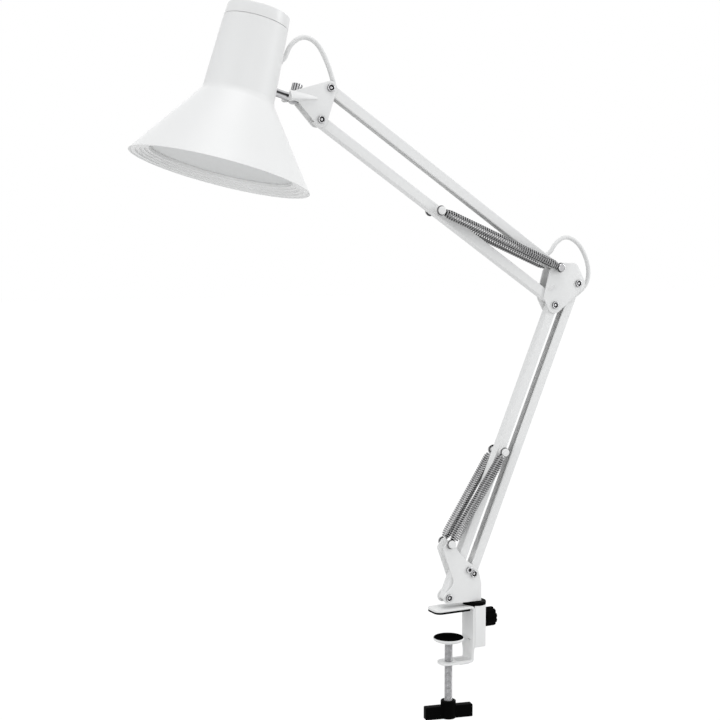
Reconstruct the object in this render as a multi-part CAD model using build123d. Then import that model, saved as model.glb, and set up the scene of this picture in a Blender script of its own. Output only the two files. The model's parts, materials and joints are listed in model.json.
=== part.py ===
"""Clamp lamp: a table clamp, a swivelling base, two parallel-bar arms balanced by springs, and an LED shade.

Millimetres and degrees. The arm plane is XZ, the head reaches towards -X and +Z is up. The origin is on
the underside of the jaw pad, on the axis of the clamp screw.
"""

import os
from math import atan2, cos, degrees, hypot, pi, radians, sin, tan

import numpy as np
from build123d import *

os.makedirs("parts", exist_ok=True)

# Clearances
FIT_FIXED = 0.02
FIT_RUNNING = 0.06
FIT_LOOSE = 0.1
GAP = 0.3

# Clamp
STRIP_WIDTH = 24.0
STRIP_THICKNESS = 2.2
STRIP_BEND = 3.6
PAD_THICKNESS = 2.0
JAW_FRONT = 18.0
JAW_CORNER = 5.0
SPINE_FRONT = 23.0
LOWER_JAW_FRONT = 11.0
TONGUE_WIDTH = 20.0
TONGUE_CORNER = 8.0
SPINE_TAPER = 6.0
JAW_OPENING = 53.8
BEAD_RADIUS = 4.5
BEAD_RISE = 2.2
BEAD_TOP = 30.0
POST_DEPTH = 16.0
POST_HEIGHT = 44.2
POST_WALL = 2.0
POST_CORNER = 2.4
BUSH_FLANGE = 24.5
BUSH_FLANGE_THICKNESS = 3.4
BUSH_DEPTH = 38.0
PINTLE_DIAMETER = 10.0
PINTLE_DEPTH = 35.0
PINTLE_SPIGOT = 5.0
PINTLE_PEEN = 1.2

# Clamp screw
SCREW_DIAMETER = 8.0
CUP_DIAMETER = 30.0
CUP_HEIGHT = 5.0
CUP_LIP = 1.6
CUP_SOCKET = 3.5
CUP_NECK = 13.0
PRESS_PAD_THICKNESS = 1.5
PRESS_PAD_TOP = -27.8
SCREW_END = -109.0
HANDLE_LENGTH = 52.0
HANDLE_WIDTH = 9.0
HANDLE_HEIGHT = 13.5
HANDLE_BOTTOM = -114.4
HANDLE_HUB = 16.0
HANDLE_HUB_HEIGHT = 18.9
HANDLE_TURN = -11.0

# Lock knob on the post
LOCK_SCREW_DIAMETER = 6.0
LOCK_HEIGHT = -12.0
KNOB_DIAMETER = 20.5
KNOB_THICKNESS = 12.5
KNOB_COLLAR = 13.0
KNOB_COLLAR_LENGTH = 2.4
KNOB_LOBES = 8
KNOB_FLUTE = 3.2

# Arms: pivots, bars and links
BAR = 10.4
BAR_WALL = 1.0
BAR_CORNER = 1.2
BASE_PIVOT_X = -3.8
BASE_PIVOT_Z = 15.2
LOWER_ARM = 328.0
LOWER_RISE = 67.0
LOWER_LINK = 37.4
LOWER_LINK_RISE = 37.3
UPPER_ARM = 318.0
UPPER_RISE = 33.2
UPPER_LINK = 32.3
UPPER_LINK_RISE = 71.6
ELBOW_HEIGHT = 40.0
ELBOW_RISE = 85.2
SPRING_PIN_REACH = 162.0

# Brackets and rivets
SIDE_CLEARANCE = 0.35
PLATE = 1.5
RIVET = 4.0
RIVET_HEAD = 7.6
RIVET_DOME = 2.4
BASE_BOTTOM = 8.0
BASE_REAR = 35.5
BASE_WEB_HEIGHT = 18.5
BASE_FLOOR_LENGTH = 17.0
BASE_LOBE = 6.3
EAR_SHIFT = 1.3
EAR_HEIGHT = 57.0
EAR_LOBE = 4.0
SIDE_SCREW_LOBE = 5.2
SIDE_SCREW_REACH = 7.3
SIDE_SCREW_RISE = 140.6
ELBOW_LOBE = 8.8
ELBOW_INNER_LOBE = 7.2
ELBOW_SHOULDER = 3.4
ELBOW_CROWN = 6.2
HEAD_LOBE = 6.8
HEAD_REACH = 35.7
HEAD_DROP = 11.3
HEAD_NOSE = 8.2
HEAD_THROAT = 3.0
NOSE_HEIGHT = 7.6
NOSE_CORNER = 0.7
EMBOSS_RADIUS = 4.4
EMBOSS_LENGTH = 34.0
EMBOSS_RUN_OUT = 1.0
EMBOSS_SET_BACK = 1.8
EMBOSS_FALL = 3.0
STUD_DIAMETER = 4.0
STUD_SET_BACK = 0.3
THUMB_SCREW = 4.0
THUMB_HEAD = 10.4
THUMB_HEAD_LOW = 6.2
THUMB_HEAD_TOP = 14.6
THUMB_FLUTE = 1.0
THUMB_FLUTES = 12

# Springs, their studs and caps
SPRING_DIAMETER = 8.0
SPRING_WIRE = 1.2
SPRING_TURNS = 20
SPRING_SIDE = 11.7
HOOK_DIAMETER = 8.4
HOOK_NECK = 3.6
STUD_CAP = 8.4
STUD_GROOVE = 6.6
STUD_GROOVE_WIDTH = 2.0
STUD_CAP_END = 2.6

# Lead
LEAD = 4.6
LEAD_SLOT = 6.0
SLOT_LENGTH = 17.0
LEAD_BEND = 12.5
LEAD_EXIT_HEIGHT = 122.9
LEAD_EXIT_REACH = 4.3
LEAD_START_HEIGHT = 106.6
LEAD_START_DEPTH = 11.5

# Shade and head
SHADE_TILT = 15.0
STEM_HEIGHT = 89.7
STEM_REACH = 55.1
STEM_DIAMETER = 8.0
STEM_SPIGOT = 5.0
STEM_EYE = 11.0
STEM_EYE_THICKNESS = 9.0
STEM_NUT = 9.0
STEM_NUT_THICKNESS = 4.0
STEM_WASHER = 14.0
STEM_WASHER_THICKNESS = 1.2
MOUTH_RADIUS = 87.0
CONE_HEIGHT = 73.5
NECK_BOTTOM_RADIUS = 34.5
NECK_TOP_RADIUS = 31.0
NECK_TOP = 145.0
NECK_BLEND = 14.0
SHADE_WALL = 1.2
CAP_HEIGHT = 12.4
CAP_SEAM = 0.5
CAP_EDGE = 1.6
CAP_DRAFT = 0.8
CAP_SPIGOT = 6.0
CAP_WALL = 1.5
RIM_STEPS = 4
RIM_STEP_WIDTH = 4.0
RIM_STEP_RISE = 1.6
RIM_LIFT = 0.8
RIM_LEDGE = 2.0
DIFFUSER_THICKNESS = 2.0
DIFFUSER_INSET = 0.6
CARRIER_HEIGHT = 24.0
CARRIER_THICKNESS = 1.6
BOARD_RADIUS = 56.0
BOARD_THICKNESS = 1.6
LED_SIZE = 3.0
LED_THICKNESS = 0.8
LED_INNER_RING = 18.0
LED_INNER_COUNT = 6
LED_OUTER_RING = 44.0
LED_OUTER_COUNT = 16
DRIVER_WIDTH = 34.0
DRIVER_DEPTH = 24.0
DRIVER_HEIGHT = 44.0
WIRE_DIAMETER = 1.6
WIRE_SPACING = 3.0
WIRE_SIDE = 8.0
SLEEVE_WALL = 1.0
SLEEVE_SET_BACK = 4.8
SLEEVE_LENGTH = 9.0


def polar(point, length, angle):
    """The point of the arm plane at a length and an angle above +X from another."""
    return (point[0] + length * cos(radians(angle)), point[1] + length * sin(radians(angle)))


def shifted(point, x, z):
    """A point of the arm plane moved by x and z."""
    return (point[0] + x, point[1] + z)


# Places that follow from the driving dimensions
PLATE_INNER = BAR / 2 + SIDE_CLEARANCE
PLATE_OUTER = PLATE_INNER + PLATE
JAW_TOP = PAD_THICKNESS + STRIP_THICKNESS
SPINE_BACK = SPINE_FRONT + STRIP_THICKNESS
POST_BACK = SPINE_FRONT + POST_DEPTH
POST_AXIS = (SPINE_BACK + POST_BACK - POST_WALL) / 2
LOWER_JAW_TOP = -JAW_OPENING
BUSH_TOP = JAW_TOP + BUSH_FLANGE_THICKNESS

BASE_FRONT = (BASE_PIVOT_X, BASE_PIVOT_Z)
BASE_BACK = polar(BASE_FRONT, LOWER_LINK, LOWER_LINK_RISE)
ELBOW_FRONT = polar(BASE_FRONT, LOWER_ARM, LOWER_RISE)
ELBOW_BACK = polar(BASE_BACK, LOWER_ARM, LOWER_RISE)
ELBOW_TOP = polar(ELBOW_FRONT, ELBOW_HEIGHT, ELBOW_RISE)
ELBOW_INNER = polar(ELBOW_TOP, -UPPER_LINK, UPPER_LINK_RISE)
HEAD_TOP = polar(ELBOW_TOP, UPPER_ARM, 180 - UPPER_RISE)
HEAD_BOTTOM = polar(ELBOW_INNER, UPPER_ARM, 180 - UPPER_RISE)
TILT_AXIS = shifted(HEAD_TOP, -HEAD_REACH, -HEAD_DROP)
EAR = shifted(BASE_FRONT, EAR_SHIFT, EAR_HEIGHT)
SIDE_SCREW = polar(BASE_BACK, SIDE_SCREW_REACH, SIDE_SCREW_RISE)
LOWER_PIN = polar(BASE_FRONT, SPRING_PIN_REACH, LOWER_RISE)
UPPER_PIN = polar(ELBOW_INNER, SPRING_PIN_REACH, 180 - UPPER_RISE)

# Shade frame: its Z axis runs from the mouth to the cap, its X axis points at the tilt axis
SHADE_UP = (sin(radians(SHADE_TILT)), 0, cos(radians(SHADE_TILT)))
SHADE_OUT = (cos(radians(SHADE_TILT)), 0, -sin(radians(SHADE_TILT)))
MOUTH_CENTRE = (
    TILT_AXIS[0] - STEM_REACH * SHADE_OUT[0] - STEM_HEIGHT * SHADE_UP[0],
    0,
    TILT_AXIS[1] - STEM_REACH * SHADE_OUT[2] - STEM_HEIGHT * SHADE_UP[2],
)
SHADE_FRAME = Plane(origin=MOUTH_CENTRE, x_dir=SHADE_OUT, z_dir=SHADE_UP).location


def save(name, *solids):
    """Writes one named piece, as one solid or as a group of separate solids."""
    shape = solids[0] if len(solids) == 1 else Compound(children=list(solids))
    export_step(shape, f"parts/{name}.step")


def across(point, radius, low, high):
    """A round bar along Y through a point of the arm plane."""
    middle = (low + high) / 2
    return Pos(point[0], middle, point[1]) * Rot(90, 0, 0) * Cylinder(radius, high - low)


def upright(x, radius, low, high):
    """A round bar along Z at a place on the X axis."""
    return Pos(x, 0, (low + high) / 2) * Cylinder(radius, high - low)


def block(low, high):
    """A box between two corners."""
    size = [b - a for a, b in zip(low, high)]
    middle = [(a + b) / 2 for a, b in zip(low, high)]
    return Pos(*middle) * Box(*size)


def turned_across(profile, point):
    """A profile of (radius, y) turned about the Y axis through a point of the arm plane."""
    return Pos(point[0], 0, point[1]) * revolve(profile, Axis.Y)


def other_side(shape):
    """The same piece on the far side of the arm plane."""
    return mirror(shape, about=Plane.XZ)


def lobed_outline(lobes):
    """The outline drawn round circles, each given as a centre and a radius."""
    circles = Sketch() + [Pos(*centre) * Circle(radius) for centre, radius in lobes]
    return make_hull(circles.edges())


def near_plate(outline, inner=PLATE_INNER, thickness=PLATE):
    """A sheet of an arm-plane outline on the near side."""
    return extrude(Plane.XZ.offset(inner) * outline, thickness)


def pivot_rivet(point):
    """A domed rivet through both plates of a bracket."""
    head = RIVET_HEAD / 2
    ball = (head**2 + RIVET_DOME**2) / (2 * RIVET_DOME)
    dome = Pos(point[0], ball - PLATE_OUTER - RIVET_DOME, point[1]) * Sphere(ball)
    dome &= across(point, 2 * head, -PLATE_OUTER - 2 * RIVET_DOME, -PLATE_OUTER)
    return dome + other_side(dome) + flush_pin(point)


# Clamp
def clamp_frame():
    """Strip bent to a C, narrow below the post, with a bead in its lower corner and a hole for the screw."""
    outer_low = LOWER_JAW_TOP - STRIP_THICKNESS
    corners = [
        (-JAW_FRONT, JAW_TOP),
        (SPINE_BACK, JAW_TOP),
        (SPINE_BACK, outer_low),
        (-LOWER_JAW_FRONT, outer_low),
        (-LOWER_JAW_FRONT, LOWER_JAW_TOP),
        (SPINE_FRONT, LOWER_JAW_TOP),
        (SPINE_FRONT, PAD_THICKNESS),
        (-JAW_FRONT, PAD_THICKNESS),
    ]
    outline = make_face(Polyline(*corners, close=True))
    bends = outline.vertices().filter_by_position(Axis.X, SPINE_BACK - 0.01, SPINE_BACK + 0.01)
    outline = fillet(bends, STRIP_BEND)
    inner = outline.vertices().filter_by_position(Axis.X, SPINE_FRONT - 0.01, SPINE_FRONT + 0.01)
    outline = fillet(inner, STRIP_BEND - STRIP_THICKNESS)
    strip = extrude(Plane.XZ * outline, STRIP_WIDTH / 2, both=True)
    half, waist = STRIP_WIDTH / 2, JAW_TOP - POST_HEIGHT
    trim = make_face(
        Polyline(
            (half, waist),
            (TONGUE_WIDTH / 2, waist - SPINE_TAPER),
            (TONGUE_WIDTH / 2, outer_low - 1),
            (half + 1, outer_low - 1),
            (half + 1, waist),
            close=True,
        )
    )
    trim = extrude(Plane.YZ * trim, 2 * STRIP_WIDTH, both=True)
    strip = strip - trim - other_side(trim)
    for front, corner in ((-JAW_FRONT, JAW_CORNER), (-LOWER_JAW_FRONT, TONGUE_CORNER)):
        edges = strip.edges().filter_by(Axis.Z).filter_by_position(Axis.X, front - 0.01, front + 0.01)
        strip = fillet(edges, corner)
    bead_axis_x = SPINE_FRONT + BEAD_RADIUS - BEAD_RISE
    bead_axis_z = LOWER_JAW_TOP - BEAD_RADIUS + BEAD_RISE
    bead_end = SCREW_DIAMETER / 2 + BEAD_RADIUS
    bead = upright(bead_axis_x, BEAD_RADIUS, bead_axis_z, -BEAD_TOP)
    bead += Pos(bead_axis_x, 0, -BEAD_TOP) * Sphere(BEAD_RADIUS)
    floor_length = bead_axis_x - bead_end
    floor_bead = Rot(0, 90, 0) * Cylinder(BEAD_RADIUS, floor_length)
    bead += Pos(bead_end + floor_length / 2, 0, bead_axis_z) * floor_bead
    inside = block((bead_end, -STRIP_WIDTH / 2, LOWER_JAW_TOP), (SPINE_FRONT, STRIP_WIDTH / 2, 0))
    strip += bead & inside
    return strip - upright(0, SCREW_DIAMETER / 2 + FIT_LOOSE, outer_low - 1, LOWER_JAW_TOP + BEAD_RISE + 1)


def jaw_pad():
    """Rubber pad under the upper jaw."""
    half = STRIP_WIDTH / 2
    pad = block((-JAW_FRONT, -half, 0), (SPINE_FRONT - STRIP_BEND, half, PAD_THICKNESS))
    return fillet(pad.edges().filter_by(Axis.Z).group_by(Axis.X)[0], JAW_CORNER)


def post_box():
    """Channel welded to the back of the spine, which holds the swivel bush."""
    half = STRIP_WIDTH / 2
    bottom = JAW_TOP - POST_HEIGHT
    shell = block((SPINE_BACK, -half, bottom), (POST_BACK, half, JAW_TOP))
    shell = fillet(shell.edges().filter_by(Axis.Z).group_by(Axis.X)[-1], POST_CORNER)
    hollow = block(
        (SPINE_BACK - 1, POST_WALL - half, bottom - 1),
        (POST_BACK - POST_WALL, half - POST_WALL, JAW_TOP + 1),
    )
    return shell - hollow - lock_bore()


def lock_bore():
    """The way of the lock screw through the post."""
    start = POST_AXIS
    length = POST_BACK - start + 1
    bore = Cylinder(LOCK_SCREW_DIAMETER / 2 + FIT_LOOSE, length)
    return Pos(start + length / 2, 0, LOCK_HEIGHT) * Rot(0, 90, 0) * bore


def swivel_bush():
    """Moulded bush that fills the post, with a flange under the base bracket."""
    half = STRIP_WIDTH / 2 - POST_WALL - FIT_FIXED
    core = block(
        (SPINE_BACK + FIT_FIXED, -half, JAW_TOP - BUSH_DEPTH),
        (POST_BACK - POST_WALL - FIT_FIXED, half, JAW_TOP),
    )
    flange = upright(POST_AXIS, BUSH_FLANGE / 2, JAW_TOP, BUSH_TOP)
    flange = fillet(flange.edges().group_by(Axis.Z)[-1], 0.8)
    bore = upright(POST_AXIS, PINTLE_DIAMETER / 2 + FIT_RUNNING, JAW_TOP - BUSH_DEPTH - 1, BUSH_TOP + 1)
    return core + flange - bore - lock_bore()


def clamp_screw():
    """Screw from the pressure cup down into the handle."""
    top = PRESS_PAD_TOP - PRESS_PAD_THICKNESS - CUP_HEIGHT + CUP_SOCKET
    screw = upright(0, SCREW_DIAMETER / 2, SCREW_END, top)
    return chamfer(screw.edges().group_by(Axis.Z)[-1], 0.8)


def screw_handle():
    """T-handle: two flat wings on a round hub."""
    top = HANDLE_BOTTOM + HANDLE_HEIGHT
    half_length, half_width = HANDLE_LENGTH / 2, HANDLE_WIDTH / 2
    wings = block((-half_length, -half_width, HANDLE_BOTTOM), (half_length, half_width, top))
    wings = fillet(wings.edges().filter_by(Axis.Z), half_width * 0.45)
    wings = fillet(wings.edges().group_by(Axis.Z)[-1], 1.0)
    hub = upright(0, HANDLE_HUB / 2, HANDLE_BOTTOM, HANDLE_BOTTOM + HANDLE_HUB_HEIGHT)
    hub = fillet(hub.edges().group_by(Axis.Z)[-1], 1.2)
    bore = upright(0, SCREW_DIAMETER / 2 + FIT_FIXED, SCREW_END, HANDLE_BOTTOM + HANDLE_HUB_HEIGHT + 1)
    return Rot(0, 0, HANDLE_TURN) * (wings + hub) - bore


def pressure_cup():
    """Dished cup that turns on the screw end and carries the pad."""
    top = PRESS_PAD_TOP - PRESS_PAD_THICKNESS
    bottom = top - CUP_HEIGHT
    radius, neck = CUP_DIAMETER / 2, CUP_NECK / 2
    profile = make_face(
        [
            Line((0, bottom), (0, top)),
            Line((0, top), (radius, top)),
            Line((radius, top), (radius, top - CUP_LIP)),
            ThreePointArc((radius, top - CUP_LIP), (radius * 0.8, top - CUP_HEIGHT * 0.55), (neck, bottom)),
            Line((neck, bottom), (0, bottom)),
        ]
    )
    cup = revolve(Plane.XZ * profile, Axis.Z)
    return cup - upright(0, SCREW_DIAMETER / 2 + FIT_LOOSE, bottom - 1, bottom + CUP_SOCKET + FIT_LOOSE)


def pressure_pad():
    """Rubber disc on the cup."""
    pad = upright(0, CUP_DIAMETER / 2 - 0.6, PRESS_PAD_TOP - PRESS_PAD_THICKNESS, PRESS_PAD_TOP)
    return fillet(pad.edges().group_by(Axis.Z)[-1], 0.5)


def lock_screw():
    """Thumb screw that grips the pintle."""
    start = POST_AXIS + PINTLE_DIAMETER / 2 + GAP
    end = POST_BACK + GAP + KNOB_COLLAR_LENGTH + KNOB_THICKNESS * 0.7
    length = end - start
    shank = Rot(0, 90, 0) * Cylinder(LOCK_SCREW_DIAMETER / 2, length)
    return Pos(start + length / 2, 0, LOCK_HEIGHT) * shank


def fluted_knob(diameter, thickness, collar, collar_length, bore, bore_depth):
    """Knob along +Z from its collar's seat: a fluted grip with a blind hole for its screw."""
    top = collar_length + thickness
    grip = Pos(0, 0, collar_length + thickness / 2) * Cylinder(diameter / 2, thickness)
    grip = fillet(grip.edges().group_by(Axis.Z)[-1], thickness * 0.16)
    flute_reach = diameter / 2 + KNOB_FLUTE * 0.55
    for step in range(KNOB_LOBES):
        centre = polar((0, 0), flute_reach, 360 * step / KNOB_LOBES)
        grip -= Pos(*centre, top / 2 + collar_length) * Cylinder(KNOB_FLUTE, top + 2)
    seat = Pos(0, 0, collar_length / 2) * Cylinder(collar / 2, collar_length)
    hole = Pos(0, 0, bore_depth / 2) * Cylinder(bore / 2 + FIT_FIXED, bore_depth)
    return grip + seat - hole


def lock_knob():
    """Lobed knob behind the post."""
    depth = KNOB_COLLAR_LENGTH + KNOB_THICKNESS * 0.7
    knob = fluted_knob(
        KNOB_DIAMETER, KNOB_THICKNESS, KNOB_COLLAR, KNOB_COLLAR_LENGTH, LOCK_SCREW_DIAMETER, depth
    )
    return Pos(POST_BACK + GAP, 0, LOCK_HEIGHT) * Rot(0, 90, 0) * knob


# Base
def base_outline():
    """Side of the base bracket: a body round both pivots and an ear for the springs."""
    corner = 1.0
    notch = (shifted(SIDE_SCREW, -15.5, -4.0), 4.5)
    screw = (SIDE_SCREW, SIDE_SCREW_LOBE)
    floor = ((BASE_REAR - corner, BASE_BOTTOM + corner), corner)
    shoulder = ((BASE_REAR - corner, BASE_BOTTOM + BASE_WEB_HEIGHT), corner)
    body = lobed_outline([(BASE_FRONT, BASE_LOBE), floor, shoulder, (BASE_BACK, BASE_LOBE), screw, notch])
    ear = lobed_outline([(EAR, EAR_LOBE), (shifted(EAR, -3.8, -5.3), EAR_LOBE), screw, notch])
    return body + ear


def base_bracket():
    """Sheet folded to a U: two sides, a rear web and a floor that the pintle is riveted to."""
    side = near_plate(base_outline())
    sides = side + other_side(side)
    rear = BASE_REAR - PLATE
    top = BASE_BOTTOM + BASE_WEB_HEIGHT
    web = block((rear, -PLATE_INNER, BASE_BOTTOM), (BASE_REAR, PLATE_INNER, top))
    floor = block(
        (BASE_REAR - BASE_FLOOR_LENGTH, -PLATE_INNER, BASE_BOTTOM), (rear, PLATE_INNER, BASE_BOTTOM + PLATE)
    )
    bracket = sides + web + floor
    for pivot in (BASE_FRONT, BASE_BACK):
        bracket -= across(pivot, RIVET / 2 + FIT_FIXED, -PLATE_OUTER - 1, PLATE_OUTER + 1)
    for place in (SIDE_SCREW, EAR):
        bracket -= across(place, RIVET / 2 + FIT_FIXED, -PLATE_OUTER - 1, PLATE_OUTER + 1)
    spigot = PINTLE_SPIGOT / 2 + FIT_FIXED
    return bracket - upright(POST_AXIS, spigot, BASE_BOTTOM - 1, BASE_BOTTOM + PLATE + 1)


def pintle():
    """Pin that the base turns on, peened over inside the bracket."""
    pin = upright(POST_AXIS, PINTLE_DIAMETER / 2, JAW_TOP - PINTLE_DEPTH, BASE_BOTTOM)
    pin = chamfer(pin.edges().group_by(Axis.Z)[0], 1.0)
    spigot_top = BASE_BOTTOM + PLATE + PINTLE_PEEN
    spigot = upright(POST_AXIS, PINTLE_SPIGOT / 2, BASE_BOTTOM, spigot_top)
    return pin + spigot


def base_side_screws():
    """A short screw in each side of the bracket, flush inside."""
    head = across(SIDE_SCREW, RIVET_HEAD / 2 - GAP, -PLATE_OUTER - 1.8, -PLATE_OUTER)
    head = fillet(head.edges().group_by(Axis.Y)[0], 0.8)
    screw = head + across(SIDE_SCREW, RIVET / 2, -PLATE_OUTER, -PLATE_INNER)
    return screw, other_side(screw)


def cap_profile(inner, bore):
    """Near half of a grooved cap for a spring hook, as (radius, y) from its seat outwards."""
    hub, groove = STUD_CAP / 2, STUD_GROOVE / 2
    low = SPRING_SIDE - STUD_GROOVE_WIDTH / 2
    high = SPRING_SIDE + STUD_GROOVE_WIDTH / 2
    end = high + STUD_CAP_END
    soft = 0.8
    return [
        (bore, -inner),
        (groove, -inner),
        (groove, -low),
        (groove, -high),
        (hub, -high),
        (hub, -end + soft),
        (hub - soft, -end),
        (bore, -end),
    ]


def base_spring_studs():
    """A grooved stud riveted to each ear of the base bracket."""
    cap = make_face(Polyline(*cap_profile(PLATE_OUTER, 0), close=True))
    stud = turned_across(cap, EAR) + across(EAR, RIVET / 2, -PLATE_OUTER, -PLATE_INNER)
    return stud, other_side(stud)


# Arms
def bar_frame(start, end):
    """A bar's own frame: X along the bar, Y across it in the arm plane, Z to the near side."""
    run = (end[0] - start[0], 0, end[1] - start[1])
    return Plane(origin=(start[0], 0, start[1]), x_dir=run, z_dir=(0, -1, 0)).location


def channel_bar(start, end, open_side, slots=(), pin_at=None):
    """Square channel with rounded ends and a pivot hole at each end, open towards the other bar of its arm.

    A side is 1 or -1 across the bar, and each slot is (middle along the bar, side).
    """
    length = hypot(end[0] - start[0], end[1] - start[1])
    inner = BAR - 2 * BAR_WALL
    opening = Pos(open_side * BAR / 2, 0) * Rectangle(BAR, inner)
    section = RectangleRounded(BAR, BAR, BAR_CORNER) - Rectangle(inner, inner) - opening
    channel = Pos(-BAR / 2, 0, 0) * extrude(Plane.YZ * section, length + BAR)
    ends = extrude(Pos(length / 2, 0) * SlotOverall(length + BAR, BAR), BAR / 2, both=True)
    bar = channel & ends
    for place in (0, length):
        bar -= Pos(place, 0, 0) * Cylinder(RIVET / 2 + FIT_RUNNING, BAR + 2)
    for middle, side in slots:
        bar -= Pos(middle, side * BAR / 2, 0) * Box(SLOT_LENGTH, 2 * BAR_WALL + 1, LEAD_SLOT)
    if pin_at is not None:
        bar -= Pos(pin_at, 0, 0) * Cylinder(RIVET / 2 + FIT_FIXED, BAR + 2)
    return bar_frame(start, end) * bar


def spring_pin(point):
    """Plain pin through a bar that carries a cap on each end."""
    end = SPRING_SIDE + STUD_GROOVE_WIDTH / 2 + STUD_CAP_END
    return across(point, RIVET / 2, -end, end)


def pin_caps(point):
    """Grooved caps on both ends of a spring pin."""
    ring = make_face(Polyline(*cap_profile(BAR / 2, RIVET / 2 + FIT_FIXED), close=True))
    cap = turned_across(ring, point)
    return cap, other_side(cap)


# Springs
def biarc(start, start_way, end, end_way):
    """Two tangent arcs between two points with given directions there."""
    chord = end - start
    both = start_way + end_way
    spread = 2 * (1 - start_way.dot(end_way))
    reach = chord.dot(both)
    if spread < 1e-9:
        handle = chord.dot(chord) / (2 * reach)
    else:
        handle = (-reach + (reach**2 + spread * chord.dot(chord)) ** 0.5) / spread
    middle = (start + end + (start_way - end_way) * handle) * 0.5
    first = Edge.make_tangent_arc(start, start_way, middle)
    return [first, Edge.make_tangent_arc(middle, first % 1, end)]


def spring_stations(length, turns):
    """Points and directions along a spring: hook, turns and hook, as (along, across, aside)."""
    hook = HOOK_DIAMETER / 2
    coil = (SPRING_DIAMETER - SPRING_WIRE) / 2
    lead_in = hook + HOOK_NECK
    climb = (length - 2 * lead_in) / turns
    slope = climb / (2 * pi * coil)
    stations = []
    for angle in (60, 150, 240, 330):
        turn = radians(angle)
        place = Vector(hook * cos(turn), hook * sin(turn), 0)
        stations.append((place, Vector(-sin(turn), cos(turn), 0)))
    for half in range(2 * turns + 1):
        way = 1 if half % 2 == 0 else -1
        place = Vector(lead_in + climb * half / 2, 0, -coil * way)
        stations.append((place, Vector(slope, way, 0).normalized()))
    for place, way in reversed(stations[:4]):
        stations.append((Vector(length - place.X, -place.Y, place.Z), way))
    return stations


def spring(start, end, turns=SPRING_TURNS):
    """Near-side extension spring with a hook round a stud at each end, as one tube."""
    length = hypot(end[0] - start[0], end[1] - start[1])
    stations = spring_stations(length, turns)
    tail = SPRING_WIRE
    edges = [Edge.make_line(stations[0][0] - stations[0][1] * tail, stations[0][0])]
    for (place, way), (following, next_way) in zip(stations, stations[1:]):
        edges += biarc(place, way, following, next_way)
    edges.append(Edge.make_line(stations[-1][0], stations[-1][0] + stations[-1][1] * tail))
    path = Wire(edges)
    section = Plane(origin=path @ 0, z_dir=path % 0) * Circle(SPRING_WIRE / 2)
    print(f"spring of {turns} turns, least gap to itself {self_gap(path):.2f} mm")
    wound = sweep(section, path)
    return Pos(0, -SPRING_SIDE, 0) * bar_frame(start, end) * wound


def self_gap(path):
    """Least gap of a wire to itself, between points over half a turn apart along it."""
    count = int(path.length / (SPRING_WIRE / 2))
    points = np.array([tuple(path @ (n / count)) for n in range(count + 1)])
    skip = int(pi * SPRING_DIAMETER / 2 / (SPRING_WIRE / 2))
    gaps = [np.linalg.norm(points[n + skip :] - points[n], axis=1).min() for n in range(count - skip)]
    return min(gaps) - SPRING_WIRE


# Elbow
def elbow_plate():
    """Near plate of the elbow, round the four pivots."""
    outline = lobed_outline(
        [
            (ELBOW_FRONT, ELBOW_LOBE),
            (ELBOW_INNER, ELBOW_INNER_LOBE),
            (shifted(ELBOW_TOP, -7.2, -4.6), ELBOW_SHOULDER),
            (shifted(ELBOW_TOP, 3.0, -1.6), ELBOW_CROWN),
            (shifted(ELBOW_TOP, 20.3, -1.3), ELBOW_CROWN),
            (ELBOW_BACK, ELBOW_LOBE),
        ]
    )
    plate = near_plate(outline)
    for pivot in (ELBOW_FRONT, ELBOW_INNER, ELBOW_TOP, ELBOW_BACK):
        plate -= across(pivot, RIVET / 2 + FIT_FIXED, -PLATE_OUTER - 1, -PLATE_INNER + 1)
    return plate


def flush_pin(point):
    """Pivot pin that ends flush with both plates."""
    return across(point, RIVET / 2, -PLATE_OUTER, PLATE_OUTER)


def spring_screw():
    """Long screw through the elbow: the top bar turns on it and a spring hooks on each end."""
    end = make_face(Polyline(*cap_profile(PLATE_OUTER, 0), close=True))
    near = turned_across(end, ELBOW_TOP)
    return near + other_side(near) + across(ELBOW_TOP, RIVET / 2, -PLATE_OUTER, PLATE_OUTER)


# Head bracket
def along_stem(distance):
    """A point on the stem's axis, measured from the tilt axis away from the shade."""
    return (TILT_AXIS[0] + distance * SHADE_OUT[0], TILT_AXIS[1] + distance * SHADE_OUT[2])


def head_outline():
    """Side of the head bracket: a body round both pivots and a snout along the stem."""
    nose = along_stem(-HEAD_NOSE + NOSE_CORNER)
    rise = NOSE_HEIGHT / 2 - NOSE_CORNER
    throat = (along_stem(HEAD_THROAT), HEAD_THROAT)
    corners = [shifted(nose, way * rise * SHADE_UP[0], way * rise * SHADE_UP[2]) for way in (-1, 1)]
    snout = lobed_outline([(corner, NOSE_CORNER) for corner in corners] + [throat, (HEAD_TOP, HEAD_LOBE)])
    return snout + lobed_outline([throat, (HEAD_TOP, HEAD_LOBE), (HEAD_BOTTOM, HEAD_LOBE)])


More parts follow.
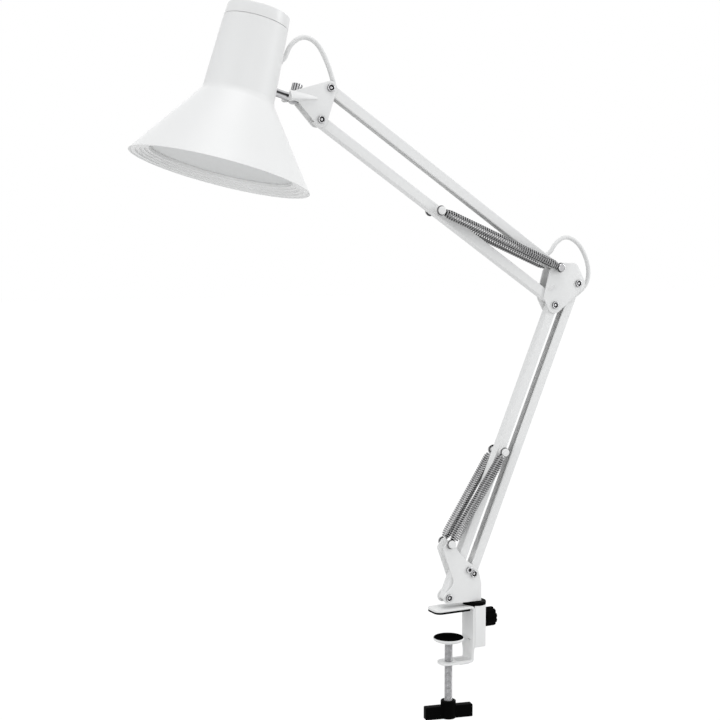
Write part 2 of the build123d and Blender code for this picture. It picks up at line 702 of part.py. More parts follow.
def head_plate():
    """Near plate of the head bracket, with a half-round emboss that tapers from its nose."""
    outline = head_outline()
    plate = near_plate(outline)
    tip = along_stem(-HEAD_NOSE - EMBOSS_RUN_OUT)
    way = (cos(radians(EMBOSS_FALL)), 0, -sin(radians(EMBOSS_FALL)))
    cone = Cone(EMBOSS_RADIUS, FIT_LOOSE, EMBOSS_LENGTH, align=(Align.CENTER, Align.CENTER, Align.MIN))
    cone = Plane(origin=(tip[0], 0, tip[1]), z_dir=way).location * cone
    bulge = Pos(0, EMBOSS_SET_BACK - PLATE_OUTER, 0) * cone
    hollow = Pos(0, EMBOSS_SET_BACK - PLATE_INNER, 0) * cone
    plate += bulge & near_plate(outline, PLATE_OUTER, EMBOSS_RADIUS)
    plate -= hollow & near_plate(Rectangle(2000, 2000), PLATE_INNER, EMBOSS_RADIUS)
    for pivot in (HEAD_TOP, HEAD_BOTTOM):
        plate -= across(pivot, RIVET / 2 + FIT_FIXED, -PLATE_OUTER - 1, -PLATE_INNER + 1)
    return plate - across(TILT_AXIS, STUD_DIAMETER / 2 + FIT_FIXED, -2 * PLATE_OUTER, 2 * PLATE_OUTER)


def clamp_stud():
    """Pin that the stem's eye turns on, set back a little in both plates."""
    end = PLATE_OUTER - STUD_SET_BACK
    return across(TILT_AXIS, STUD_DIAMETER / 2, -end, end)


def on_tilt(shape):
    """A shape along +Z moved to the tilt axis and turned to stand across the stem."""
    return Plane(origin=(TILT_AXIS[0], 0, TILT_AXIS[1]), x_dir=SHADE_OUT, z_dir=SHADE_UP).location * shape


def head_lock_knob():
    """Thumb screw through the stem's eye, whose tip grips the clamp stud."""
    head = upright(0, THUMB_HEAD / 2, THUMB_HEAD_LOW, THUMB_HEAD_TOP)
    head = chamfer(head.edges(), THUMB_FLUTE / 2)
    for step in range(THUMB_FLUTES):
        place = polar((0, 0), THUMB_HEAD / 2 + THUMB_FLUTE / 2, 360 * step / THUMB_FLUTES)
        head -= Pos(*place, THUMB_HEAD_TOP) * Cylinder(THUMB_FLUTE, 2 * THUMB_HEAD_TOP)
    shank = upright(0, THUMB_SCREW / 2, STUD_DIAMETER / 2 + GAP, THUMB_HEAD_LOW)
    return on_tilt(head + shank)


def neck_radius(height):
    """Outer radius of the neck at a height above the mouth."""
    share = (height - CONE_HEIGHT) / (NECK_TOP - CONE_HEIGHT)
    return NECK_BOTTOM_RADIUS + share * (NECK_TOP_RADIUS - NECK_BOTTOM_RADIUS)


def stem_bar(radius, low, high):
    """A round bar along the stem's axis, between distances from the shade's axis, in the shade frame."""
    bar = Pos((low + high) / 2, 0, STEM_HEIGHT) * Rot(0, 90, 0) * Cylinder(radius, high - low)
    return SHADE_FRAME * bar


STEM_SEAT = neck_radius(STEM_HEIGHT) + GAP
NECK_ROOM = min(neck_radius(STEM_HEIGHT + side * STEM_WASHER / 2) for side in (-1, 1)) - SHADE_WALL - GAP
NUT_SEAT = NECK_ROOM - STEM_WASHER_THICKNESS


def stem():
    """Rod with an eye on the clamp stud, a hole for the thumb screw and a spigot that the shade turns on."""
    rod = stem_bar(STEM_DIAMETER / 2, STEM_SEAT, STEM_REACH)
    spigot = stem_bar(STEM_SPIGOT / 2, NUT_SEAT - STEM_NUT_THICKNESS - 1, STEM_SEAT)
    eye = across(TILT_AXIS, STEM_EYE / 2, -STEM_EYE_THICKNESS / 2, STEM_EYE_THICKNESS / 2)
    eye = fillet(eye.edges(), 1.0)
    bore = across(TILT_AXIS, STUD_DIAMETER / 2 + FIT_RUNNING, -STEM_EYE, STEM_EYE)
    return rod + spigot + eye - bore - on_tilt(upright(0, THUMB_SCREW / 2 + FIT_RUNNING, 0, STEM_EYE))


def stem_nut():
    """Nut on the spigot inside the neck."""
    nut = extrude(RegularPolygon(STEM_NUT / 2, 6, major_radius=False), STEM_NUT_THICKNESS)
    nut -= Cylinder(STEM_SPIGOT / 2 + FIT_FIXED, 4 * STEM_NUT_THICKNESS)
    return SHADE_FRAME * Pos(NUT_SEAT - STEM_NUT_THICKNESS, 0, STEM_HEIGHT) * Rot(0, 90, 0) * nut


def stem_washer():
    """Washer under the stem nut."""
    ring = stem_bar(STEM_WASHER / 2, NUT_SEAT, NECK_ROOM)
    bore = stem_bar(STEM_SPIGOT / 2 + FIT_RUNNING, NUT_SEAT - 1, NECK_ROOM + 1)
    return (ring - bore) & SHADE_FRAME * Cylinder(NECK_ROOM, 4 * STEM_HEIGHT)


# Shade
def inward(first, second):
    """Unit normal of a profile line, on its left, as (radius, height)."""
    run = (second[0] - first[0], second[1] - first[1])
    size = hypot(*run)
    return (-run[1] / size, run[0] / size)


def shade_line(depth):
    """Mouth, knee and top of the shade's profile, set in from its outer face."""
    points = [(MOUTH_RADIUS, 0), (NECK_BOTTOM_RADIUS, CONE_HEIGHT), (NECK_TOP_RADIUS, NECK_TOP)]
    cone, neck = inward(points[0], points[1]), inward(points[1], points[2])
    share = depth / (1 + cone[0] * neck[0] + cone[1] * neck[1])
    knee = (points[1][0] + share * (cone[0] + neck[0]), points[1][1] + share * (cone[1] + neck[1]))
    mouth = (points[0][0] + depth / cone[0], 0)
    return mouth, knee, (points[2][0] + depth / neck[0], NECK_TOP)


def cone_inside(height):
    """Radius of the cone's inner face at a height above the mouth."""
    mouth, knee, _ = shade_line(SHADE_WALL)
    return mouth[0] + (knee[0] - mouth[0]) * (height - mouth[1]) / (knee[1] - mouth[1])


def shade_shell():
    """Spun cone and neck, one sheet, open at both ends."""
    outer = FilletPolyline(*shade_line(0), radius=NECK_BLEND)
    inner = FilletPolyline(*shade_line(SHADE_WALL), radius=NECK_BLEND + SHADE_WALL)
    profile = make_face([outer, Line(outer @ 1, inner @ 1), inner, Line(inner @ 0, outer @ 0)])
    shell = SHADE_FRAME * revolve(Plane.XZ * profile, Axis.Z)
    shell -= stem_bar(STEM_SPIGOT / 2 + FIT_RUNNING, 0, STEM_SEAT + 1)
    return shell - sleeve_bore(LEAD / 2 + SLEEVE_WALL + FIT_FIXED)


def shade_cap():
    """Moulded cap with a spigot inside the neck."""
    low = NECK_TOP + CAP_SEAM
    top = NECK_TOP + CAP_HEIGHT
    spigot = NECK_TOP_RADIUS - SHADE_WALL - FIT_LOOSE
    bottom = NECK_TOP - CAP_SPIGOT
    profile = make_face(
        Polyline(
            (0, top),
            (NECK_TOP_RADIUS - CAP_DRAFT, top),
            (NECK_TOP_RADIUS, low),
            (spigot, low),
            (spigot, bottom),
            (spigot - CAP_WALL, bottom),
            (spigot - CAP_WALL, top - CAP_WALL),
            (0, top - CAP_WALL),
            close=True,
        )
    )
    cap = revolve(Plane.XZ * profile, Axis.Z)
    return SHADE_FRAME * fillet(cap.edges().group_by(Axis.Z)[-1], CAP_EDGE)


RIM_TOP = RIM_LIFT + RIM_STEPS * RIM_STEP_RISE + RIM_LEDGE
RIM_OUTER = cone_inside(RIM_LIFT) - FIT_LOOSE


def rim_ring():
    """Stepped ring inside the mouth, which carries the diffuser."""
    points = [(RIM_OUTER, RIM_LIFT)]
    for step in range(1, RIM_STEPS + 1):
        radius = RIM_OUTER - step * RIM_STEP_WIDTH
        points.append((radius, RIM_LIFT + (step - 1) * RIM_STEP_RISE))
        points.append((radius, RIM_LIFT + step * RIM_STEP_RISE))
    points.append((points[-1][0], RIM_TOP))
    points.append((cone_inside(RIM_TOP) - FIT_LOOSE, RIM_TOP))
    return SHADE_FRAME * revolve(Plane.XZ * make_face(Polyline(*points, close=True)), Axis.Z)


def diffuser():
    """Frosted disc on the ring's ledge."""
    radius = cone_inside(RIM_TOP + DIFFUSER_THICKNESS) - DIFFUSER_INSET
    disc = Pos(0, 0, RIM_TOP + DIFFUSER_THICKNESS / 2) * Cylinder(radius, DIFFUSER_THICKNESS)
    return SHADE_FRAME * disc


def led_carrier():
    """Dished plate that lines the cone, holds the diffuser down and carries the LED board."""
    low = RIM_TOP + DIFFUSER_THICKNESS + FIT_LOOSE
    high = CARRIER_HEIGHT + CARRIER_THICKNESS
    wall = CARRIER_THICKNESS
    profile = make_face(
        Polyline(
            (0, CARRIER_HEIGHT),
            (cone_inside(CARRIER_HEIGHT) - FIT_LOOSE - wall, CARRIER_HEIGHT),
            (cone_inside(low) - FIT_LOOSE - wall, low),
            (cone_inside(low) - FIT_LOOSE, low),
            (cone_inside(high) - FIT_LOOSE, high),
            (0, high),
            close=True,
        )
    )
    dish = revolve(Plane.XZ * profile, Axis.Z)
    for x, y in wire_places():
        dish -= Pos(x, y, CARRIER_HEIGHT) * Cylinder(WIRE_DIAMETER / 2 + FIT_LOOSE, 4 * CARRIER_THICKNESS)
    return SHADE_FRAME * dish


def led_board():
    """Round board under the carrier."""
    board = Cylinder(BOARD_RADIUS, BOARD_THICKNESS)
    return SHADE_FRAME * Pos(0, 0, CARRIER_HEIGHT - BOARD_THICKNESS / 2) * board


def led_chips():
    """Two rings of LEDs on the board."""
    height = CARRIER_HEIGHT - BOARD_THICKNESS - LED_THICKNESS / 2
    chips = []
    for radius, count in ((LED_INNER_RING, LED_INNER_COUNT), (LED_OUTER_RING, LED_OUTER_COUNT)):
        for step in range(count):
            place = polar((0, 0), radius, 360 * step / count)
            chips.append(SHADE_FRAME * Pos(*place, height) * Box(LED_SIZE, LED_SIZE, LED_THICKNESS))
    return chips


DRIVER_TOP = NECK_TOP + CAP_HEIGHT - CAP_WALL
DRIVER_BOTTOM = DRIVER_TOP - DRIVER_HEIGHT


def driver():
    """LED driver, fixed under the cap."""
    box = block(
        (-DRIVER_WIDTH / 2, -DRIVER_DEPTH / 2, DRIVER_BOTTOM),
        (DRIVER_WIDTH / 2, DRIVER_DEPTH / 2, DRIVER_TOP),
    )
    return SHADE_FRAME * fillet(box.edges().filter_by(Axis.Z), 2.0)


def wire_places():
    """Where the driver's two wires run, in the shade frame."""
    return [(-WIRE_SIDE, side * WIRE_SPACING / 2) for side in (-1, 1)]


def driver_wires():
    """Two wires from the driver down to the board."""
    length = DRIVER_BOTTOM - CARRIER_HEIGHT
    middle = CARRIER_HEIGHT + length / 2
    return [SHADE_FRAME * Pos(x, y, middle) * Cylinder(WIRE_DIAMETER / 2, length) for x, y in wire_places()]


# Lead
def bar_point(start, end, distance):
    """A point on a bar's axis at a distance from its start."""
    length = hypot(end[0] - start[0], end[1] - start[1])
    share = distance / length
    return (start[0] + share * (end[0] - start[0]), start[1] + share * (end[1] - start[1]))


def in_shade(out, up):
    """A point of the arm plane given in the shade frame."""
    return (
        MOUTH_CENTRE[0] + out * SHADE_OUT[0] + up * SHADE_UP[0],
        MOUTH_CENTRE[2] + out * SHADE_OUT[2] + up * SHADE_UP[2],
    )


# The lead runs inside the top bar and the rear bar, and loops free between them and to the shade
LEAD_START = in_shade(neck_radius(LEAD_EXIT_HEIGHT) - LEAD_START_DEPTH, LEAD_START_HEIGHT)
LEAD_LEAVES_NECK = in_shade(neck_radius(LEAD_EXIT_HEIGHT) + LEAD_EXIT_REACH, LEAD_EXIT_HEIGHT)
HEAD_RUN = bar_point(HEAD_TOP, ELBOW_TOP, 31.0)
HEAD_ROUTE = [
    LEAD_START,
    LEAD_LEAVES_NECK,
    shifted(HEAD_TOP, -39.6, 39.7),
    shifted(HEAD_TOP, -26.1, 48.7),
    shifted(HEAD_TOP, -11.9, 43.7),
    shifted(HEAD_TOP, -2.6, 29.2),
    shifted(HEAD_TOP, 3.9, 13.2),
    bar_point(HEAD_TOP, ELBOW_TOP, 11.2),
    HEAD_RUN,
]
ELBOW_RUN = bar_point(ELBOW_TOP, HEAD_TOP, 42.0)
LOWER_RUN = bar_point(ELBOW_BACK, BASE_BACK, 40.0)
ELBOW_ROUTE = [
    ELBOW_RUN,
    bar_point(ELBOW_TOP, HEAD_TOP, 22.0),
    shifted(ELBOW_TOP, -6.3, 14.3),
    shifted(ELBOW_TOP, 1.7, 26.8),
    shifted(ELBOW_TOP, 14.7, 33.8),
    shifted(ELBOW_TOP, 30.2, 26.8),
    shifted(ELBOW_BACK, 14.2, 29.2),
    shifted(ELBOW_BACK, 18.7, 13.9),
    shifted(ELBOW_BACK, 16.9, 1.3),
    shifted(ELBOW_BACK, 9.1, -7.9),
    bar_point(ELBOW_BACK, BASE_BACK, 20.0),
    LOWER_RUN,
]
LEAD_END = bar_point(BASE_BACK, ELBOW_BACK, 34.0)
TOP_SLOTS = [(7.5, 1), (UPPER_ARM - 16.5, 1)]
REAR_SLOTS = [(20.0, -1), (LOWER_ARM - 13.5, -1)]


def corner_radii(route):
    """The largest arc that each corner of a route leaves room for."""
    radii = []
    for before, corner, after in zip(route, route[1:], route[2:]):
        runs = [hypot(b[0] - a[0], b[1] - a[1]) for a, b in ((before, corner), (corner, after))]
        ways = [atan2(b[1] - a[1], b[0] - a[0]) for a, b in ((before, corner), (corner, after))]
        turn = abs((ways[1] - ways[0] + pi) % (2 * pi) - pi)
        radii.append(0.45 * min(runs) / tan(turn / 2))
    return radii


def lead_along(name, route, first_bend=None):
    """The lead as a tube along a route of the arm plane, with its first bend set by hand if need be."""
    radii = corner_radii(route)
    if first_bend is not None:
        radii[0] = first_bend
    print(name, "radii", [round(radius, 1) for radius in radii])
    points = [(x, 0, z) for x, z in route]
    path = FilletPolyline(*points, radius=radii)
    tube = sweep(Plane(origin=path @ 0, z_dir=path % 0) * Circle(LEAD / 2), path)
    area = pi * LEAD**2 / 4
    print(name, f"length {path.length:.1f}, volume {tube.volume:.1f} against {area * path.length:.1f}")
    return tube


def lead_run(start, end):
    """A straight stretch of the lead inside a bar."""
    length = hypot(end[0] - start[0], end[1] - start[1])
    rod = Pos(length / 2, 0, 0) * Rot(0, 90, 0) * Cylinder(LEAD / 2, length)
    return bar_frame(start, end) * rod


def sleeve_bar(radius, low, high):
    """A round bar along the lead where it leaves the neck, from its crossing of the neck."""
    rise = degrees(atan2(LEAD_LEAVES_NECK[1] - LEAD_START[1], LEAD_LEAVES_NECK[0] - LEAD_START[0]))
    start, end = polar(LEAD_LEAVES_NECK, low, rise), polar(LEAD_LEAVES_NECK, high, rise)
    bar = Pos((high - low) / 2, 0, 0) * Rot(0, 90, 0) * Cylinder(radius, high - low)
    return bar_frame(start, end) * bar


def sleeve_bore(radius):
    """The slanting hole through the neck for the lead's sleeve."""
    return sleeve_bar(radius, -2 * SLEEVE_LENGTH, SLEEVE_LENGTH)


def lead_sleeve():
    """Sleeve that guides the lead through the neck."""
    outer = sleeve_bar(LEAD / 2 + SLEEVE_WALL, -SLEEVE_SET_BACK - SLEEVE_LENGTH, -SLEEVE_SET_BACK)
    return outer - sleeve_bar(LEAD / 2 + FIT_FIXED, -2 * SLEEVE_LENGTH, SLEEVE_LENGTH)


# Every piece, under its own name
save("clamp_frame", clamp_frame())
save("jaw_pad", jaw_pad())
save("post_box", post_box())
save("swivel_bush", swivel_bush())
save("clamp_screw", clamp_screw())
save("screw_handle", screw_handle())
save("pressure_cup", pressure_cup())
save("pressure_pad", pressure_pad())
save("lock_screw", lock_screw())
save("lock_knob", lock_knob())

save("base_bracket", base_bracket())
save("pintle", pintle())
save("base_front_rivet", pivot_rivet(BASE_FRONT))
save("base_rear_rivet", pivot_rivet(BASE_BACK))
save("base_side_screws", *base_side_screws())
save("base_spring_studs", *base_spring_studs())

save("lower_front_bar", channel_bar(BASE_FRONT, ELBOW_FRONT, -1, pin_at=SPRING_PIN_REACH))
save("lower_spring_pin", spring_pin(LOWER_PIN))
save("lower_pin_caps", *pin_caps(LOWER_PIN))
save("lower_rear_bar", channel_bar(BASE_BACK, ELBOW_BACK, 1, REAR_SLOTS))
save("lower_lead_run", lead_run(LEAD_END, LOWER_RUN))

save("elbow_plate_near", elbow_plate())
save("elbow_plate_far", other_side(elbow_plate()))
save("elbow_front_rivet", pivot_rivet(ELBOW_FRONT))
save("elbow_rear_rivet", pivot_rivet(ELBOW_BACK))
save("elbow_inner_pin", flush_pin(ELBOW_INNER))
save("elbow_spring_screw", spring_screw())

save("upper_top_bar", channel_bar(HEAD_TOP, ELBOW_TOP, -1, TOP_SLOTS))
save("upper_lead_run", lead_run(HEAD_RUN, ELBOW_RUN))
save("upper_lower_bar", channel_bar(HEAD_BOTTOM, ELBOW_INNER, 1, pin_at=UPPER_ARM - SPRING_PIN_REACH))
save("upper_spring_pin", spring_pin(UPPER_PIN))
save("upper_pin_caps", *pin_caps(UPPER_PIN))

for arm, anchor, pin in (("lower", EAR, LOWER_PIN), ("upper", ELBOW_TOP, UPPER_PIN)):
    near_spring = spring(anchor, pin)
    save(f"{arm}_spring_near", near_spring)
    save(f"{arm}_spring_far", other_side(near_spring))

save("head_plate_near", head_plate())
save("head_plate_far", other_side(head_plate()))
save("head_top_rivet", pivot_rivet(HEAD_TOP))
save("head_bottom_rivet", pivot_rivet(HEAD_BOTTOM))
save("head_clamp_stud", clamp_stud())
save("head_lock_knob", head_lock_knob())
save("stem", stem())
save("stem_nut", stem_nut())
save("stem_washer", stem_washer())

save("shade_shell", shade_shell())
save("shade_cap", shade_cap())
save("rim_ring", rim_ring())
save("diffuser", diffuser())
save("led_carrier", led_carrier())
save("led_board", led_board())
save("led_chips", *led_chips())
save("driver", driver())
save("driver_wires", *driver_wires())
save("lead_sleeve", lead_sleeve())

save("head_lead_loop", lead_along("head_lead_loop", HEAD_ROUTE, LEAD_BEND))
save("elbow_lead_loop", lead_along("elbow_lead_loop", ELBOW_ROUTE))
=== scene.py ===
"""Looks of a clamp lamp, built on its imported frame.

Every length is in metres in the frame's own axes: the arm plane is XZ, the head reaches towards -X, the
near side is -Y, and the origin is under the jaw pad on the axis of the clamp screw.
"""

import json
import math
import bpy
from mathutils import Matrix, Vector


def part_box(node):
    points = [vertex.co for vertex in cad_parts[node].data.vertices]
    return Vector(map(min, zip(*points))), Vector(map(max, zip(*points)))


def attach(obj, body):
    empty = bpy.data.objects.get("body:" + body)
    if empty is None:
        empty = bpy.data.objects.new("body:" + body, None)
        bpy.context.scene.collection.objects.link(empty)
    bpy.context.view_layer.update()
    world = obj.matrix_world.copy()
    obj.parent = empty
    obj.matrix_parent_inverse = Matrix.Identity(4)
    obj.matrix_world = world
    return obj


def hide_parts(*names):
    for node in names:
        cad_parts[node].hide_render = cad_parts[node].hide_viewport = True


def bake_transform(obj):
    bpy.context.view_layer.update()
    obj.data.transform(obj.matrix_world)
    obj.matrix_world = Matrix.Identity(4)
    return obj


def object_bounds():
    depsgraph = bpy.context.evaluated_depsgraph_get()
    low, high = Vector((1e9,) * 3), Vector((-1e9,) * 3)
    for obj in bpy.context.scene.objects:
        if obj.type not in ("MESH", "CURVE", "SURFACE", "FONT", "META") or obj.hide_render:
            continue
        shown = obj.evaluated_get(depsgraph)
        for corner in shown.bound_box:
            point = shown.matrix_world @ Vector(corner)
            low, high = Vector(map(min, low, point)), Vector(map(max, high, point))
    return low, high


bl_info = {
    "name": "Clamp Lamp",
    "version": (1, 0, 0),
    "blender": (4, 5, 0),
    "location": "View3D > Sidebar > Lamp",
    "description": "Surfaces, finishes and stage for a clamp lamp with balanced arms",
    "category": "Add Mesh",
}

import bmesh
import bpy
import numpy as np
from mathutils import Vector

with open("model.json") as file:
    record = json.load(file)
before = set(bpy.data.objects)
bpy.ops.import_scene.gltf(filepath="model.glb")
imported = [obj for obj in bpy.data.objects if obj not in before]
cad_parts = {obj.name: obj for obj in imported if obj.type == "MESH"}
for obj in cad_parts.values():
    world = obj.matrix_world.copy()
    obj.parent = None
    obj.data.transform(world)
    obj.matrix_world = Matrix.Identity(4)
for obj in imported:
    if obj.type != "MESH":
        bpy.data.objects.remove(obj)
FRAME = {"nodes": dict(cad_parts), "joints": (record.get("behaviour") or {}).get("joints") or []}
CAD_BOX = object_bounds()
NODES = FRAME["nodes"]
JOINTS = {joint["name"]: joint for joint in FRAME["joints"]}
MM = 0.001
SIDES = (("near", -1), ("far", 1))
ALONG, ASIDE, UPRIGHT = np.eye(3)

# Points round a turned end and round a pin
AROUND = 40
PIN_AROUND = 24


def mm(*values):
    """Millimetres as an array in metres."""
    return np.array(values, float) * MM


def middle(node):
    """Centre of a CAD node's box."""
    low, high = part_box(node)
    return np.array((low + high) / 2)


BASE_FRONT = middle("base_front_rivet")
BASE_BACK = middle("base_rear_rivet")
SIDE_SCREW = middle("base_side_screws")
EAR = middle("base_spring_studs")
LOWER_PIN = middle("lower_spring_pin")
ELBOW_FRONT = middle("elbow_front_rivet")
ELBOW_BACK = middle("elbow_rear_rivet")
ELBOW_TOP = middle("elbow_spring_screw")
ELBOW_INNER = middle("elbow_inner_pin")
UPPER_PIN = middle("upper_spring_pin")
HEAD_TOP = middle("head_top_rivet")
HEAD_BOTTOM = middle("head_bottom_rivet")
TILT_AXIS = np.array(JOINTS["head_tilt"]["pos_m"], float)

# Shade axes: OUT points from the shade to the tilt axis, UP from the mouth to the cap
OUT = np.array(JOINTS["head_roll"]["axis"], float)
UP = np.cross(OUT, ASIDE)
STEM_REACH = 55.1 * MM
STEM_HEIGHT = 89.7 * MM
MOUTH = TILT_AXIS - STEM_REACH * OUT - STEM_HEIGHT * UP

# Sheet bracket faces either side of the bars, and how deep a raised form is set into them
PLATE_INNER = 5.55 * MM
PLATE_OUTER = 7.05 * MM
SUNK = 0.2 * MM


def turn_setting(name, note, number):
    """A panel setting for the turns of a spring."""
    return bpy.props.IntProperty(name=name, description=note, default=number, min=8, max=120)


def length_setting(name, note, length):
    """A panel setting for a length in millimetres."""
    length *= MM
    return bpy.props.FloatProperty(name=name, description=note, default=length, unit="LENGTH", precision=5)


def colour_setting(name, note, *colour):
    """A panel setting for a colour."""
    limits = {"subtype": "COLOR", "min": 0, "max": 1}
    return bpy.props.FloatVectorProperty(name=name, description=note, default=colour, **limits)


class LampSizes(bpy.types.PropertyGroup):
    """Sizes that the frame leaves to the looks."""

    lower_turns: turn_setting("Lower turns", "Turns of wire in each lower spring", 44)
    upper_turns: turn_setting("Upper turns", "Turns of wire in each upper spring", 52)
    lower_spring: length_setting("Lower spring", "Outside diameter of a lower spring", 10.752)
    upper_spring: length_setting("Upper spring", "Outside diameter of an upper spring", 9.6)
    wire_diameter: length_setting("Spring wire", "Diameter of the spring wire", 1.75)
    lead_diameter: length_setting("Lead", "Diameter of the lead", 4.6)
    thread_pitch: length_setting("Thread pitch", "Pitch of the clamp screw", 1.25)
    edge: length_setting("Sheet edge", "Rounding of pressed sheet edges", 0.45)


class LampFinish(bpy.types.PropertyGroup):
    """Colours of the lamp's finishes."""

    enamel: colour_setting("Enamel", "White enamel on metal", 0.80, 0.80, 0.795)
    moulded: colour_setting("White plastic", "White mouldings", 0.79, 0.79, 0.785)
    sheath: colour_setting("Sheath", "Sheath of the lead", 0.76, 0.76, 0.755)
    frosted: colour_setting("Diffuser", "Frosted diffuser", 0.72, 0.725, 0.72)
    plated: colour_setting("Plating", "Bright plated steel", 0.24, 0.24, 0.245)
    wire: colour_setting("Spring wire", "Drawn spring wire", 0.30, 0.30, 0.305)
    black: colour_setting("Black plastic", "Black mouldings", 0.002, 0.002, 0.002)
    rubber: colour_setting("Rubber", "Black rubber pads", 0.002, 0.002, 0.002)


# Shader sums


class Value:
    """A shader output that takes part in Python sums: each sum adds one Math node."""

    def __init__(self, shader, socket):
        self.shader = shader
        self.socket = socket

    def math(self, operation, first, second):
        return self.shader.node("ShaderNodeMath", {"operation": operation}, {0: first, 1: second})

    def __add__(self, other):
        return self.math("ADD", self, other)

    __radd__ = __add__

    def __sub__(self, other):
        return self.math("SUBTRACT", self, other)

    def __mul__(self, other):
        return self.math("MULTIPLY", self, other)

    __rmul__ = __mul__


class Shader:
    """A material or a world under construction, with one method for every kind of node."""

    def __init__(self, owner, surface="Principled BSDF"):
        self.owner = owner
        owner.use_nodes = True
        self.tree = owner.node_tree
        self.surface = self.tree.nodes[surface]

    def node(self, kind, settings, inputs, output=0):
        """Adds a node: its settings first, then the values or links of its inputs."""
        made = self.tree.nodes.new(kind)
        for name, setting in settings.items():
            setattr(made, name, setting)
        for name, value in inputs.items():
            self.feed(made.inputs[name], value)
        return Value(self, made.outputs[output])

    def feed(self, socket, value):
        """Links a value to a socket or sets the socket."""
        if isinstance(value, Value):
            self.tree.links.new(value.socket, socket)
        else:
            socket.default_value = value

    def set(self, **inputs):
        """Feeds the surface: underscores in a name stand for spaces."""
        for name, value in inputs.items():
            self.feed(self.surface.inputs[name.replace("_", " ")], value)

    def place(self):
        """Object coordinates, which are metres in the frame."""
        return self.node("ShaderNodeTexCoord", {}, {}, "Object")

    def noise(self, scale, detail=2.0, roughness=0.5):
        """Noise with so many cells to the metre."""
        inputs = {"Vector": self.place(), "Scale": scale, "Detail": detail, "Roughness": roughness}
        return self.node("ShaderNodeTexNoise", {}, inputs)

    def own(self, name):
        """An attribute that the piece's mesh carries."""
        return self.node("ShaderNodeAttribute", {"attribute_name": name}, {}, "Fac")

    def shade(self, factor, dark, light, low=0.0, high=1.0):
        """A colour between two, by a factor between two places."""
        made = self.node("ShaderNodeValToRGB", {}, {"Fac": factor})
        stops = made.socket.node.color_ramp.elements
        for stop, place, colour in zip(stops, (low, high), (dark, light)):
            stop.position, stop.color = place, (*colour, 1.0)
        return made

    def bump(self, height, strength, distance):
        """A normal raised by a height."""
        inputs = {"Strength": strength, "Distance": distance, "Height": height}
        return self.node("ShaderNodeBump", {}, inputs)

    def show(self, bright, share, output):
        """Puts a bright shader in for a share of the camera, glossy and transmission rays."""
        kinds = ("Is Camera Ray", "Is Glossy Ray", "Is Transmission Ray")
        seen, *others = (self.node("ShaderNodeLightPath", {}, {}, kind) for kind in kinds)
        for ray in others:
            seen = seen.math("MAXIMUM", seen, ray)
        plain = Value(self, self.surface.outputs[0])
        mixed = self.node("ShaderNodeMixShader", {}, {0: share * seen, 1: plain, 2: bright})
        self.feed(self.tree.nodes[output].inputs["Surface"], mixed)


def new_coat(name):
    """Shader of a new material."""
    return Shader(bpy.data.materials.new(name))


def scaled(colour, factor):
    """A colour made lighter or darker by a factor."""
    return tuple(min(1.0, channel * factor) for channel in colour)


def tone(name):
    """A colour of the panel's finishes."""
    return tuple(getattr(bpy.context.scene.lamp_finish, name))


def coated(name, base, patches, gloss, grain, **more):
    """A finish whose colour, gloss and grain each follow a noise.

    Patches are (darkest, lightest, noise), the gloss is (least roughness, spread, noise) and the grain is
    (strength, depth, noise), where a noise is (cells to the metre, detail, roughness).
    """
    made, colour = new_coat(name), tone(base)
    dark, light, cloud = patches
    least, spread, haze = gloss
    strength, depth, tooth = grain
    made.set(
        Base_Color=made.shade(made.noise(*cloud), scaled(colour, dark), scaled(colour, light)),
        Roughness=least + spread * made.noise(*haze),
        Normal=made.bump(made.noise(*tooth), strength, depth),
        **more,
    )
    return made.owner


def enamel():
    """Satin enamel on pressed steel: a faint orange peel, slow drifts of tone and an uneven gloss."""
    drift, haze, peel = (9.0, 3.0), (38.0, 4.0, 0.6), (240.0, 2.0)
    return coated("white_enamel", "enamel", (0.975, 1.02, drift), (0.4, 0.12, haze), (0.04, 0.0002, peel))


def moulded():
    """White moulding: a little glossier than the enamel, with a soft flow in its tone."""
    flow = (0.98, 1.02, (30.0, 2.0))
    gloss, grain = (0.27, 0.08, (160.0, 3.0)), (0.03, 0.0001, (2200.0, 1.0))
    return coated("white_moulding", "moulded", flow, gloss, grain, Specular_IOR_Level=0.5)


def sheath():
    """Soft white sheath of the lead, with a dull sheen and faint handling marks."""
    marks, tooth = (220.0, 4.0, 0.65), (1800.0, 2.0)
    return coated("lead_sheath", "sheath", (0.95, 1.02, marks), (0.42, 0.12, marks), (0.06, 0.0001, tooth))


def frosted():
    """Frosted diffuser: a fine matt tooth and a tone that is a little brighter in patches."""
    cloud, tooth = (0.97, 1.03, (14.0, 2.0)), (2600.0, 2.0)
    return coated("frosted_diffuser", "frosted", cloud, (0.5, 0.15, tooth), (0.12, 0.0001, tooth))


def plated(name="bright_plating", share=1.0, least=0.12):
    """Bright plating: metal with a fine uneven polish."""
    haze = (700.0, 4.0, 0.7)
    patches, grain = (0.93 * share, 1.03 * share, haze), (0.04, 0.0001, (1500.0, 3.0))
    return coated(name, "plated", patches, (least, 0.1, haze), grain, Metallic=1.0)


def black_moulding():
    """Black moulding with a fine spark-eroded grain."""
    patches, grain = (0.8, 1.25, (60.0, 3.0)), (2400.0, 3.0, 0.6)
    gloss, relief = (0.42, 0.16, grain), (0.16, 0.0001, grain)
    return coated("black_moulding", "black", patches, gloss, relief, Specular_IOR_Level=0.012)


def rubber():
    """Matt black rubber with a fine tooth and paler rubbed patches."""
    rubbed, tooth = (0.8, 1.9, (85.0, 4.0, 0.6)), (1600.0, 4.0, 0.7)
    gloss, relief = (0.68, 0.2, tooth), (0.25, 0.0001, tooth)
    return coated("black_rubber", "rubber", rubbed, gloss, relief, Specular_IOR_Level=0.0)


# Painted highlight: how many times brighter than plain plating the bright points of painted-light metal are
PAINTED_HIGHLIGHT = 2.4


